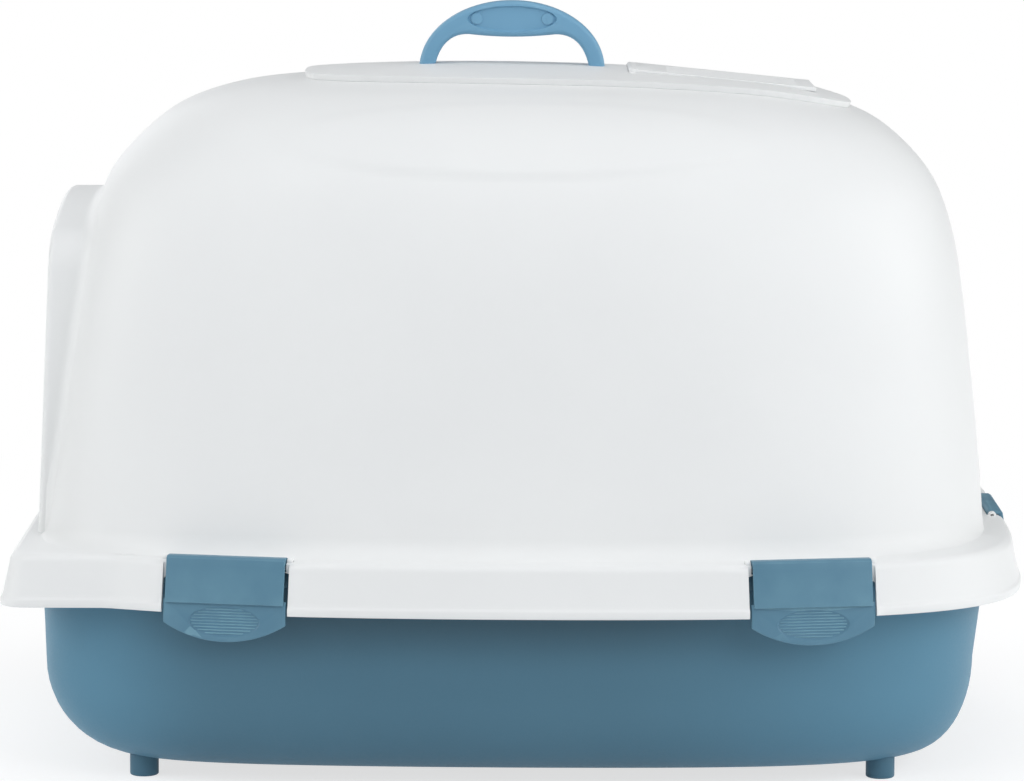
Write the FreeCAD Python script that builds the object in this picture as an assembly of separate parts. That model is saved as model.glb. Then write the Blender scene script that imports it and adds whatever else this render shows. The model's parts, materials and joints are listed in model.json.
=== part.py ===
import FreeCAD, Part

import math
import os

# Cat litter box with a lift-off hood, in millimetres.
# +X is the rear, -X the entrance, +Z up. The origin is on the ground, at the middle of the box.

V = FreeCAD.Vector
X_AXIS, Y_AXIS, Z_AXIS = V(1, 0, 0), V(0, 1, 0), V(0, 0, 1)

# ---- overall ----
length = 642.5              # over the hood's lip
half_width = 248.0          # of the lip, at its widest station
lip_z = 118.0               # bottom of the hood's skirt
flange_z = 150.0            # top of the hood's flange
roof_z = 437.6              # highest point of the hood's shell
grip_top_z = 481.7          # top of the handle

# ---- plan outlines ----
widest_x = 20.0             # station where the bowed sides are widest
side_bow = 3600.0           # twice the radius of the sides' bow
ring_points = 36            # points of a closed outline
rim_power = 5.0             # corner power of the rim's outline
nose_half_width = 212.0     # the rim is straight and narrower towards the entrance
nose_corner = 14.0
shoulder_start_x = -226.0   # the rim steps in between these two stations
shoulder_end_x = -261.0
shoulder_pull = 12.0

# ---- walls and fits ----
wall = 3.0                  # hood and tray
skirt_wall = 2.8
flange_wall = 2.8
seat_gap = 0.4              # hood over tray, while closed
running_gap = 0.05          # radial, on every hinge pin
side_gap = 0.4              # along a hinge, and round a lid
skin_gap = 0.1              # between pieces that are snapped together

# ---- skirt ----
bead_height = 6.0
bead_step = 1.2
skirt_draft = 4.3           # further inset at the top of the skirt
skirt_round = 5.0

# ---- tray ----
foot_height = 11.0
tub_front_x = -306.0
tub_rear_x = 300.7
tub_half_width = 226.0
tub_lean = (3.9, 8.4, 9.0)  # how far each wall leans in down to the rounding: front, rear and side
tub_round_z = 59.6          # height of the rounding along the floor
tub_round = (56.9, 33.6, 43.5)    # its reach: front, rear and side
tub_front_power = (7.5, 5.8)      # up to the rounding's end, and at the rim
tub_rear_power = 5.06
tub_steps = 7               # outlines in the rounding, and as many up the wall
rim_top_z = 143.5
rim_wall = 2.6
rim_inset = 11.2            # from the hood's lip to the rim's edge
rim_lip_height = 9.5
rim_lip_wall = 2.2

# ---- feet ----
foot_radius = 9.1
foot_x = (-236.9, 228.4)
foot_y = 148.0
foot_edge = 1.2
stem_radius = 5.0
stem_length = 9.0
boss_wall = 3.0

# ---- hood shell: front x and z, rear x and z, half width, front and rear corner powers ----
seat_rib = (17.0, 19.0)     # insets of the rib that stands on the tray's rim
lip_edge = (0.6, 1.0)       # bevel under the bead, across and up
flare_reach = (3.5, 0.3, 11.0)    # of the fillet on the flange: front, rear and side
flare_height = 13.0
flare_steps = 5
flare_root = 0.8            # how deep the fillet starts in the flange
shell_lean = 0.16           # how far the dome's foot leans in for each mm of height
roof_turn = 1.35            # how soon the wall's thickness turns from sideways to upright
shell_levels = (
    ((-301.4, 148.6), (299.5, 148.6), 219.8, 7.0, 4.2),
    ((-293.3, 200.0), (295.4, 200.0), 212.5, 7.0, 4.2),
    ((-286.7, 250.0), (290.2, 250.0), 206.0, 6.8, 4.1),
    ((-280.3, 300.0), (284.6, 300.0), 198.0, 6.4, 4.0),
    ((-273.6, 341.0), (278.6, 337.0), 188.0, 5.8, 3.8),
    ((-263.6, 374.0), (267.2, 369.5), 174.5, 5.0, 3.6),
    ((-247.3, 395.0), (249.0, 392.4), 158.0, 4.3, 3.4),
    ((-221.0, 414.5), (224.0, 409.8), 136.0, 3.8, 3.2),
    ((-183.0, 427.3), (184.0, 422.9), 108.0, 3.4, 3.0),
    ((-138.0, 433.0), (137.0, 429.6), 78.0, 3.0, 2.8),
    ((-88.0, 436.0), (84.0, 433.9), 48.0, 2.7, 2.6),
    ((-34.0, 437.6), (30.0, 436.6), 18.0, 2.4, 2.4),
)

# ---- porch and entrance ----
porch_half_width = 122.0
porch_spread = 4.0          # wider at the bottom on each side
porch_top_z = 359.0
porch_corner = 30.0
porch_spring_z = 314.5      # where the upper corners start
porch_face = ((-296.4, 350.0), (-305.0, 155.0))
porch_edge = 4.0
porch_inner_x = -245.0
door_half_width = 97.0
door_sill_z = 178.0
door_head_z = 333.0
door_head_corner = 12.0
door_foot_corner = 24.0

# ---- flap ----
flap_thick = 2.4
flap_margin = 3.0
flap_rod_radius = 1.5
flap_barrel_radius = 3.2
flap_rod_x = -290.0
flap_rod_z = 325.0
flap_ear = 6.0
flap_bead = 1.2
flap_bead_width = 5.0
flap_bead_drop = 2.0        # the border stops this far below the rod
ear_root = 0.5              # how deep an ear sits in the wall that carries it

# ---- roof panel ----
panel_front_x = -134.5
panel_rear_x = 213.0
panel_half_width = 74.0
panel_thick = 3.8
panel_power = 3.6

# ---- filter, in a frame laid on the sloping roof ----
filter_x = 132.0
filter_slope = -5.6         # degrees; the roof falls towards the rear
filter_length = 124.0
filter_width = 84.0
cover_thick = 2.6
cover_ledge = 4.0
cover_slot = (86.0, 3.6)
cover_slots = 6
cover_slot_pitch = 10.5
cover_pin_radius = 1.4
cover_barrel_radius = 2.6
cover_pin_reach = 5.0
cover_web = 1.0             # overlap of the cover's plate and its barrel
cover_slot_shift = 4.6      # of the slots towards the rear
basket_depth = 15.0
basket_wall = 2.2
basket_inset = 9.0
basket_lip = 1.0
basket_bar_pitch = 15.0
basket_bar = 3.0
pad_thick = 8.0
pad_gap = 1.5

# ---- handle ----
handle_x = -6.0
handle_half_span = 60.3
handle_leg = 9.9
handle_thick = 17.0
handle_underside_z = 460.0
handle_sag = 1.6
handle_sag_half = 28.0
handle_edge = 3.0
recess_half = (29.0, 8.4)
recess_depth = 1.6
arch_pull = (3.0, 12.0)     # how far the opening's upper corners lean in, low and high
arch_rise = (0.75, 1.02)    # heights of those two pulls, as shares of the opening's height
tang_depth = 11.0
tang_thick = 11.0
barb = 2.0
barb_height = 4.0
barb_root = 0.2             # a barb's root inside its tang
barb_drop = 1.0             # below the roof's inner face

# ---- clips ----
clip_side_x = (-181.3, 179.7)
clip_width = 76.8
clip_plate_width = 74.4
clip_thick = 2.4
clip_top_z = 152.6
clip_fold_z = 124.5
clip_fold_step = 2.0
clip_corner_z = 112.0
clip_bottom_z = 101.0
clip_proud = 0.4            # of the skirt's face
clip_axis_inset = 13.4
clip_barrel_radius = 2.7
clip_pin_radius = 1.2
clip_hinge_gap = 0.5        # behind the barrel
clip_ear = 3.4
clip_ear_root = 1.4         # how deep the ears sit in the flange
clip_notch_gap = 1.4
clip_notch_inset = 9.2
clip_reach = 9.0            # outwards, past everything on the rim
clip_bend_drop = 3.0        # from the flange down to the top of the clip's face
clip_nose = (1.4, 1.7)      # the bevel at the clip's upper corner, from its middle in and out
clip_nose_drop = 1.2
clip_tab_kick = 2.2         # how far the tab leans out at its lower edge
clip_tab_root = 2.0         # how far the tab runs up behind the face
clip_hook_gap = 0.45
clip_hook_wall = 2.6
clip_hook_width = 44.0
clip_hook_reach = 13.0
thumb_half = (22.5, 9.2)
thumb_depth = 0.9
thumb_ribs = 9
thumb_rib = 0.9
thumb_rise = 0.8            # of the oval's middle above the tab's middle

over = 1.0                  # how far a cutter runs past what it cuts
big = 2.0 * length


# ---- small helpers ----
def box(x0, x1, y0, y1, z0, z1):
    """A box between two corners."""
    return Part.makeBox(x1 - x0, y1 - y0, z1 - z0, V(x0, y0, z0))


def rod(radius, start, end):
    """A round bar from one point to another."""
    along = end - start
    return Part.makeCylinder(radius, along.Length, start, along)


def polygon(points):
    """A closed straight-sided wire."""
    return Part.makePolygon(list(points) + [points[0]])


def prism(points, along):
    """A straight-sided face pushed along a vector."""
    return Part.Face(polygon(points)).extrude(along)


def rounded_rectangle(half_x, half_y, corner_low, corner_high):
    """A wire in the XY plane with its own corner radius at the low and the high Y side."""
    edges, corners = [], []
    for sx, sy, radius in ((1, -1, corner_low), (1, 1, corner_high),
                           (-1, 1, corner_high), (-1, -1, corner_low)):
        centre = V(sx * (half_x - radius), sy * (half_y - radius), 0)
        along_x, along_y = V(sx * radius, 0, 0), V(0, sy * radius, 0)
        middle = centre + V(sx * radius * math.sqrt(0.5), sy * radius * math.sqrt(0.5), 0)
        ends = (centre + along_y, centre + along_x) if sx * sy < 0 else (centre + along_x, centre + along_y)
        corners.append((ends[0], middle, ends[1]))
    for i, (start, middle, end) in enumerate(corners):
        edges.append(Part.Arc(start, middle, end).toShape())
        edges.append(Part.LineSegment(end, corners[(i + 1) % 4][0]).toShape())
    return Part.Wire(Part.__sortEdges__(edges))


def ellipse_disc(half_x, half_z, centre, thick):
    """An upright elliptical plate whose thickness runs along +Y from the centre."""
    curve = Part.Ellipse(V(0, 0, 0), half_x, half_z)
    face = Part.Face(Part.Wire([curve.toShape()]))
    plate = face.extrude(V(0, 0, thick))
    plate.rotate(V(0, 0, 0), X_AXIS, -90)
    plate.translate(centre)
    return plate


def ring(front, rear, half, front_power, rear_power, bow=True):
    """A closed smooth outline: a bowed box with rounded corners, about X = 0.

    front and rear are (x, z) where the outline crosses the mid-plane; it lies in their plane.
    """
    middle_x = 0.5 * (front[0] + rear[0])
    slope = (rear[1] - front[1]) / (rear[0] - front[0])
    reach_front, reach_rear = middle_x - front[0], rear[0] - middle_x
    points = []
    for i in range(ring_points):
        angle = 2.0 * math.pi * (i + 0.5) / ring_points
        c, s = math.cos(angle), math.sin(angle)
        power = rear_power if c > 0 else front_power
        k = (abs(c) ** power + abs(s) ** power) ** (-1.0 / power)
        x = middle_x + (reach_rear if c > 0 else reach_front) * c * k
        sag = (x - widest_x) ** 2 / side_bow * half / half_width if bow else 0.0
        y = (half - sag) * s * k
        points.append(V(x, y, front[1] + slope * (x - front[0])))
    curve = Part.BSplineCurve()
    curve.interpolate(Points=points, PeriodicFlag=True)
    return Part.Wire([curve.toShape()])


def loft(wires, ruled=False):
    """A solid through closed wires, capped flat at both ends."""
    return Part.makeLoft(wires, True, ruled)


# ---- the rim's outline ----
def rim_y(x, inset=0.0):
    """Half width of the rim at a station on its bowed side."""
    reach = 0.5 * length - inset
    bowed = half_width - inset - (x - widest_x) ** 2 / side_bow
    return bowed * (1.0 - abs(x / reach) ** rim_power) ** (1.0 / rim_power)


def rim_wire(inset, z):
    """The rim's outline, moved in by inset: bowed behind the shoulders, straight in front."""
    reach = 0.5 * length - inset
    nose = nose_half_width - inset
    tail = []
    steps = ring_points // 2
    last = math.atan2(rim_y(shoulder_start_x, inset) / half_width, shoulder_start_x / reach)
    for i in range(steps + 1):
        angle = last * (1.0 - 2.0 * i / steps)
        c, s = math.cos(angle), math.sin(angle)
        k = (abs(c) ** rim_power + abs(s) ** rim_power) ** (-1.0 / rim_power)
        x = reach * c * k
        y = (half_width - inset - (x - widest_x) ** 2 / side_bow) * s * k
        tail.append(V(x, y, z))
    curve = Part.BSplineCurve()
    curve.interpolate(Points=tail)
    edges = [curve.toShape()]
    first, end = tail[0], tail[-1]
    lean = (tail[0] - tail[1]).normalize()
    corner_x = -reach + nose_corner
    for side, start, sign in ((1, first, 1), (-1, end, -1)):
        pull = V(lean.x, sign * lean.y, 0) * shoulder_pull
        shoulder_end = V(shoulder_end_x, side * nose, z)
        step = Part.BezierCurve()
        step.setPoles([start, start + pull, shoulder_end + V(shoulder_pull, 0, 0), shoulder_end])
        edges.append(step.toShape())
        edges.append(Part.LineSegment(shoulder_end, V(corner_x, side * nose, z)).toShape())
        centre = V(corner_x, side * (nose - nose_corner), z)
        middle = centre + V(-1, side, 0) * (nose_corner * math.sqrt(0.5))
        front_end = V(-reach, side * (nose - nose_corner), z)
        edges.append(Part.Arc(V(corner_x, side * nose, z), middle, front_end).toShape())
    front = nose - nose_corner
    edges.append(Part.LineSegment(V(-reach, -front, z), V(-reach, front, z)).toShape())
    return Part.Wire(Part.__sortEdges__(edges))


def rim_solid(sections):
    """A ruled solid through rim outlines given as (inset, z)."""
    return loft([rim_wire(inset, z) for inset, z in sections], ruled=True)


# ---- clip sites: a frame on the rim, x along it, y outwards ----
def side_site(x, side):
    """Placement of a clip on a side of the rim; side is -1 for the near one."""
    slope = (rim_y(x + 1.0) - rim_y(x - 1.0)) / 2.0
    yaw = math.degrees(math.atan(slope)) * side
    turn = FreeCAD.Rotation(Z_AXIS, yaw + (0.0 if side > 0 else 180.0))
    return FreeCAD.Placement(V(x, side * rim_y(x), 0), turn)


def clip_sites():
    """Every clip's name and placement."""
    sites = {}
    for end, x in zip(("front", "rear"), clip_side_x):
        for label, side in (("near", -1), ("far", 1)):
            sites["clip_%s_%s" % (label, end)] = side_site(x, side)
    rear = FreeCAD.Placement(V(0.5 * length, 0, 0), FreeCAD.Rotation(Z_AXIS, -90.0))
    sites["clip_rear"] = rear
    return sites


def placed(shape, placement):
    """A copy of a shape, moved from a clip's frame to the box."""
    moved = shape.copy()
    moved.transformShape(placement.toMatrix(), True)
    return moved


clip_axis_z = clip_top_z - clip_barrel_radius


def skirt_inset(z):
    """Inset of the skirt's outer face at a height above its bead."""
    run = (z - lip_z - bead_height) / (flange_z - skirt_round - lip_z - bead_height)
    return bead_step + skirt_draft * run


# ---- tray ----
def tub_levels(offset):
    """Outlines of the tub from its floor up, moved in by the wall."""
    levels = []
    floor = foot_height + offset
    height = tub_round_z - offset
    for i in range(tub_steps + 1):
        turn = 0.5 * math.pi * i / tub_steps
        insets = [lean + (reach - offset) * (1.0 - math.sin(turn)) for lean, reach in zip(tub_lean, tub_round)]
        levels.append((floor + height * (1.0 - math.cos(turn)), insets, tub_front_power[0]))
    bend_z = floor + height
    top_z = rim_top_z + offset
    for i in range(1, tub_steps + 1):
        rise = i / tub_steps
        insets = [lean * (1.0 - rise) for lean in tub_lean]
        power = tub_front_power[0] + (tub_front_power[1] - tub_front_power[0]) * rise
        levels.append((bend_z + (top_z - bend_z) * rise, insets, power))
    wires = []
    for z, (front_in, rear_in, side_in), power in levels:
        front, rear = tub_front_x + front_in + offset, tub_rear_x - rear_in - offset
        half = tub_half_width - side_in - offset
        wires.append(ring((front, z), (rear, z), half, power, tub_rear_power))
    return wires


def foot_places():
    """Name and place of each foot."""
    return {"tray_foot_%s_%s" % (label, end): (x, side * foot_y)
            for end, x in zip(("front", "rear"), foot_x) for label, side in (("near", -1), ("far", 1))}


def make_tray():
    """The tub, its turned-down rim and the sockets of its feet."""
    rim_low = rim_top_z - rim_lip_height
    rim = rim_solid([(rim_inset, rim_low), (rim_inset, rim_top_z)])
    lip_inset = rim_inset + rim_lip_wall
    under = rim_solid([(lip_inset, rim_low - over), (lip_inset, rim_top_z - rim_wall)])
    cavity = loft(tub_levels(wall))
    pads = []
    bosses = []
    sockets = []
    for x, y in foot_places().values():
        base = V(x, y, foot_height)
        pads.append(Part.makeCylinder(foot_radius, stem_length + boss_wall, base))
        bosses.append(Part.makeCylinder(stem_radius + boss_wall, stem_length + boss_wall, base))
        sockets.append(Part.makeCylinder(stem_radius, stem_length, base))
    body = loft(tub_levels(0.0)).multiFuse([rim.cut(under)] + pads)
    cavity = cavity.cut(bosses[0].multiFuse(bosses[1:]))
    return body.cut(cavity).cut(sockets[0].multiFuse(sockets[1:]))


def make_foot(x, y):
    """A round peg with a stem pressed into the tray."""
    peg = Part.makeCylinder(foot_radius, foot_height, V(x, y, 0))
    low_edges = [e for e in peg.Edges if e.BoundBox.ZMax < foot_edge]
    peg = peg.makeFillet(foot_edge, low_edges)
    stem = Part.makeCylinder(stem_radius, stem_length - skin_gap, V(x, y, foot_height))
    return peg.fuse(stem)


# ---- hood ----
def shell_wires(offset):
    """Outlines of the hood's dome, moved in by offset, and down by it towards the roof."""
    wires = []
    foot_half = shell_levels[0][2]
    for front, rear, half, front_power, rear_power in shell_levels:
        sink = offset * min(1.0, roof_turn * (1.0 - half / foot_half))
        wires.append(ring((front[0] + offset, front[1] - sink), (rear[0] - offset, rear[1] - sink),
                          half - offset, front_power, rear_power))
    return wires


def dome(offset=0.0):
    """The filled dome; its top cap lies flat on the last outline."""
    return loft(shell_wires(offset))


def shell_foot(grow, z):
    """The dome's lowest outline, grown by three reaches (front, rear, side), at a height."""
    front, rear, half, front_power, rear_power = shell_levels[0]
    return ring((front[0] - grow[0], z), (rear[0] + grow[1], z), half + grow[2], front_power, rear_power)


def flare():
    """The hollow fillet between the dome and the flange, as a stack of straight bands."""
    low = flange_z - flare_root
    height = flare_height + flare_root
    wires = []
    for i in range(1, flare_steps + 1):
        turn = 0.5 * math.pi * i / flare_steps
        rise = height * (1.0 - math.cos(turn))
        grow = [reach * (1.0 - math.sin(turn)) - rise * shell_lean for reach in flare_reach]
        if not wires:
            wires.append(shell_foot(grow, low))
        wires.append(shell_foot(grow, low + rise))
    return loft(wires, ruled=True)


def shell_well():
    """The hole in the flange; its edge is buried in the dome's wall."""
    inner = [-0.5 * wall] * 3
    return loft([shell_foot(inner, lip_z - over), shell_foot(inner, flange_z + over)], ruled=True)


def arch_wire(half_top, half_bottom, spring, top, corner, z_bottom, x):
    """The porch's outline: upright sides, round upper corners and a crowned top."""
    run = half_top - corner
    drop = top - spring
    crown = (run ** 2 + drop ** 2 - corner ** 2) / (2.0 * (drop - corner))
    centre = V(x, 0, top - crown)
    edges = [Part.LineSegment(V(x, -half_bottom, z_bottom), V(x, half_bottom, z_bottom)).toShape()]
    ends = []
    for side in (1, -1):
        hub = V(x, side * run, spring)
        away = (hub - centre).normalize()
        end = hub + away * corner
        turn = 0.5 * (math.atan2(away.z, side * away.y))
        middle = hub + V(0, side * math.cos(turn), math.sin(turn)) * corner
        start = V(x, side * half_top, spring)
        edges.append(Part.LineSegment(V(x, side * half_bottom, z_bottom), start).toShape())
        edges.append(Part.Arc(start, middle, end).toShape())
        ends.append(end)
    edges.append(Part.Arc(ends[0], V(x, 0, top), ends[1]).toShape())
    return Part.Wire(Part.__sortEdges__(edges))


def porch_plane_x(z):
    """X of the porch's leaning face at a height."""
    (x1, z1), (x0, z0) = porch_face
    return x0 + (x1 - x0) * (z - z0) / (z1 - z0)


def porch_block(offset):
    """The filled porch, moved in by offset, cut to its leaning face."""
    x_far = -0.5 * length
    wire = arch_wire(porch_half_width - offset, porch_half_width + porch_spread - offset,
                     porch_spring_z, porch_top_z - offset, porch_corner - offset,
                     shell_levels[0][0][1], x_far)
    filled = Part.Face(wire).extrude(V(porch_inner_x - x_far, 0, 0))
    low, high = lip_z, roof_z
    keep = prism([V(porch_plane_x(low) + offset, -half_width, low),
                  V(porch_plane_x(high) + offset, -half_width, high),
                  V(0, -half_width, high), V(0, -half_width, low)], V(0, 2 * half_width, 0))
    return filled.common(keep)


def soften(shape, radius, chosen):
    """Round the chosen edges."""
    return shape.makeFillet(radius, [e for e in shape.Edges if chosen(e)])


def on_porch_face(edge):
    """True for the edges round the porch's leaning face, apart from the bottom one."""
    ends = [v.Point for v in edge.Vertexes]
    flat = all(abs(p.x - porch_plane_x(p.z)) < 0.01 for p in ends)
    return flat and edge.BoundBox.ZMax > porch_face[1][1]


def door_prism(margin, x0, x1):
    """The entrance's outline, smaller by margin, pushed from x0 to x1."""
    half_y = 0.5 * (door_head_z - door_sill_z) - margin
    wire = rounded_rectangle(door_half_width - margin, half_y,
                             door_foot_corner - margin, door_head_corner - margin)
    face = Part.Face(wire)
    face.rotate(V(0, 0, 0), X_AXIS, 90)
    face.rotate(V(0, 0, 0), Z_AXIS, 90)
    face.translate(V(x0, 0, 0.5 * (door_head_z + door_sill_z)))
    return face.extrude(V(x1 - x0, 0, 0))


def clip_notch():
    """What a clip needs cut out of the skirt and the flange, in the clip's frame."""
    half_skirt = 0.5 * clip_width + clip_notch_gap
    half_plate = 0.5 * clip_plate_width + side_gap
    depth = clip_axis_inset + clip_barrel_radius + clip_hinge_gap
    low = lip_z - over
    skirt = box(-half_skirt, half_skirt, -clip_notch_inset, clip_reach, low, flange_z + over)
    hinge = box(-half_plate, half_plate, -depth, clip_reach, flange_z - skirt_round - over, flange_z + over)
    return skirt.fuse(hinge)


def clip_ears():
    """The two ears that hold a clip's pin, in the clip's frame."""
    inner = 0.5 * clip_plate_width + side_gap
    ears = []
    low = flange_z - clip_ear_root
    front, rear = clip_axis_inset + clip_barrel_radius, clip_axis_inset - clip_barrel_radius
    for side in (-1, 1):
        x0, x1 = sorted((side * inner, side * (inner + clip_ear)))
        knuckle = rod(clip_barrel_radius, V(x0, -clip_axis_inset, clip_axis_z),
                      V(x1, -clip_axis_inset, clip_axis_z))
        upper = knuckle.common(box(x0, x1, -front, -rear, clip_axis_z, clip_top_z))
        ears.append(upper.fuse(box(x0, x1, -front, -rear, low, clip_axis_z)))
    return ears[0].fuse(ears[1])


def clip_pin():
    """A clip's hinge pin, pressed into the ears."""
    half = 0.5 * clip_plate_width + side_gap + clip_ear
    return rod(clip_pin_radius, V(-half, -clip_axis_inset, clip_axis_z),
               V(half, -clip_axis_inset, clip_axis_z))


def flap_ears():
    """Two ears behind the porch's face that hold the flap's rod."""
    ears = []
    wall_x = porch_plane_x(flap_rod_z) + wall - ear_root
    inner = door_half_width - flap_margin + side_gap
    for side in (-1, 1):
        y0, y1 = sorted((side * inner, side * (inner + flap_ear)))
        low, high = flap_rod_z - flap_barrel_radius, flap_rod_z + flap_barrel_radius
        tip = rod(flap_barrel_radius, V(flap_rod_x, y0, flap_rod_z), V(flap_rod_x, y1, flap_rod_z))
        ears.append(box(wall_x, flap_rod_x, y0, y1, low, high).fuse(tip))
    return ears


def flap_rod():
    """The flap's hinge rod."""
    half = door_half_width - flap_margin + side_gap + flap_ear
    return rod(flap_rod_radius, V(flap_rod_x, -half, flap_rod_z), V(flap_rod_x, half, flap_rod_z))


# ---- the roof's parts ----
def roof_z_at(x):
    """Height of the hood's roof on the mid-plane, read between the shell's levels."""
    line = [front for front, *_ in shell_levels]
    line += [rear for _, rear, *_ in reversed(shell_levels)]
    for (x0, z0), (x1, z1) in zip(line, line[1:]):
        if x0 <= x <= x1:
            return z0 + (z1 - z0) * (x - x0) / (x1 - x0)
    return flange_z


def filter_frame():
    """Placement of the filter's parts: x down the slope, z square to the roof."""
    return FreeCAD.Placement(V(filter_x, 0, roof_z_at(filter_x)), FreeCAD.Rotation(Y_AXIS, -filter_slope))


def on_roof(shape):
    """A copy of a shape, moved from the filter's frame to the roof."""
    return placed(shape, filter_frame())


def block(length_x, width_y, z0, z1):
    """A box centred on the filter's frame."""
    return box(-0.5 * length_x, 0.5 * length_x, -0.5 * width_y, 0.5 * width_y, z0, z1)


cover_top = panel_thick
cover_bottom = panel_thick - cover_thick
cover_length = filter_length - 2.0 * cover_ledge
cover_width = filter_width - 2.0 * cover_ledge
basket_length = filter_length - 2.0 * basket_inset
basket_width = filter_width - 2.0 * basket_inset
cover_axis_x = -0.5 * cover_length - cover_barrel_radius
cover_axis_z = cover_top - cover_barrel_radius


def panel_wire(z):
    """The roof panel's plan outline."""
    return ring((panel_front_x, z), (panel_rear_x, z), panel_half_width, panel_power, panel_power, False)


def tang_cutter(extra, z0, z1):
    """Slots for the two tangs of the handle, wider by extra on each side."""
    cuts = []
    for side in (-1, 1):
        centre = handle_x + side * (handle_half_span - 0.5 * handle_leg)
        half, side_y = 0.5 * handle_leg + extra, 0.5 * tang_thick + extra
        cuts.append(box(centre - half, centre + half, -side_y, side_y, z0, z1))
    return cuts[0].fuse(cuts[1])


def cover_hinge_cut(extra):
    """Room for the cover's barrel in the panel and the hood, in the filter's frame."""
    half = 0.5 * cover_width + extra
    reach = cover_barrel_radius + extra
    return box(cover_axis_x - reach, -0.5 * cover_length, -half, half, cover_axis_z - reach, basket_depth)


def make_roof_panel(shell):
    """The raised panel on the roof, with a seat for the vented cover."""
    raised = shell.copy()
    raised.translate(V(0, 0, panel_thick + skin_gap))
    base = shell.copy()
    base.translate(V(0, 0, skin_gap))
    plan = Part.Face(panel_wire(porch_top_z)).extrude(V(0, 0, grip_top_z - porch_top_z))
    panel = raised.common(plan).cut(base)
    opening = on_roof(block(cover_length + 2 * side_gap, cover_width + 2 * side_gap, -big, big))
    hinge = on_roof(cover_hinge_cut(side_gap))
    pins = on_roof(cover_pins(running_gap))
    panel = panel.cut(opening).cut(hinge).cut(pins)
    return panel.cut(tang_cutter(skin_gap, porch_top_z, grip_top_z))


def cover_pins(extra):
    """The cover's two stub pins, in the filter's frame."""
    reach = 0.5 * cover_width + cover_pin_reach + extra
    return rod(cover_pin_radius + extra, V(cover_axis_x, -reach, cover_axis_z),
               V(cover_axis_x, reach, cover_axis_z))


def make_filter_cover():
    """The vented cover, with a barrel along its hinge edge."""
    plate = block(cover_length, cover_width, cover_bottom, cover_top)
    for i in range(cover_slots):
        y = (i - 0.5 * (cover_slots - 1)) * cover_slot_pitch
        slot = block(cover_slot[0], cover_slot[1], cover_bottom - over, cover_top + over)
        slot.translate(V(cover_slot_shift, y, 0))
        plate = plate.cut(slot)
    half = 0.5 * cover_width
    barrel = rod(cover_barrel_radius, V(cover_axis_x, -half, cover_axis_z),
                 V(cover_axis_x, half, cover_axis_z))
    web = box(cover_axis_x, -0.5 * cover_length + cover_web, -half, half, cover_bottom, cover_top)
    return on_roof(plate.fuse(barrel).fuse(web).fuse(cover_pins(0.0)))


def make_filter_basket():
    """A lipped basket hung in the roof's hole, with a grid floor under the charcoal pad."""
    outer = block(basket_length, basket_width, -basket_depth, basket_lip)
    lip = block(cover_length, cover_width, 0.0, basket_lip)
    inside_length, inside_width = basket_length - 2 * basket_wall, basket_width - 2 * basket_wall
    inner = block(inside_length, inside_width, basket_wall - basket_depth, basket_lip + over)
    solid = outer.fuse(lip).cut(inner)
    count = int(inside_length / basket_bar_pitch)
    windows = []
    for i in range(count):
        window = block(basket_bar_pitch - basket_bar, inside_width - 2 * basket_bar, -basket_depth - over, 0.0)
        window.translate(V((i - 0.5 * (count - 1)) * basket_bar_pitch, 0, 0))
        windows.append(window)
    return on_roof(solid.cut(windows))


def make_charcoal_pad():
    """The charcoal filter, a flat pad in the basket."""
    floor = basket_wall + skin_gap - basket_depth
    inset = 2 * (basket_wall + pad_gap)
    return on_roof(block(basket_length - inset, basket_width - inset, floor, floor + pad_thick))


def make_flange():
    """The flange with its skirt, seat rib, clip notches and pin ears."""
    skirt_top = flange_z - skirt_round
    top_inset = bead_step + skirt_draft
    sections = [(lip_edge[0], lip_z), (0.0, lip_z + lip_edge[1]), (0.0, lip_z + bead_height - bead_step),
                (bead_step, lip_z + bead_height), (top_inset, skirt_top)]
    for turn in (30.0, 60.0, 90.0):
        rise = math.sin(math.radians(turn))
        inset = 1.0 - math.cos(math.radians(turn))
        sections.append((top_inset + skirt_round * inset, skirt_top + skirt_round * rise))
    outside = rim_solid(sections)
    inside = rim_solid([(skirt_wall, lip_z - over), (skirt_wall + bead_step, lip_z + bead_height),
                        (top_inset + skirt_wall, flange_z - flange_wall)])
    rib = rim_solid([(seat_rib[0], rim_top_z + seat_gap), (seat_rib[0], flange_z - 0.5 * flange_wall)])
    rib = rib.cut(rim_solid([(seat_rib[1], rim_top_z), (seat_rib[1], flange_z)]))
    notch, ears, pin = clip_notch(), clip_ears(), clip_pin()
    sites = clip_sites().values()
    base = outside.cut(inside).fuse(rib).cut([shell_well()] + [placed(notch, site) for site in sites])
    return base.fuse([placed(ears, site) for site in sites]).cut([placed(pin, site) for site in sites])


def make_hood(shell):
    """The hood: dome, porch, flange, skirt, ears and every cut."""
    porch = soften(porch_block(0.0), porch_edge, on_porch_face)
    hollow = [dome(wall), porch_block(wall)]
    body = shell.fuse([porch, flare()]).cut(hollow)
    roof_hole = block(basket_length + 2 * side_gap, basket_width + 2 * side_gap, -filter_width, filter_width)
    cuts = [door_prism(0.0, -0.5 * length, flap_rod_x), on_roof(roof_hole), on_roof(cover_pins(side_gap)),
            tang_cutter(skin_gap, porch_top_z, grip_top_z), on_roof(cover_hinge_cut(2 * side_gap))]
    body = body.cut(cuts).fuse(flap_ears()).cut(flap_rod())
    return body.fuse(make_flange())


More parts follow.
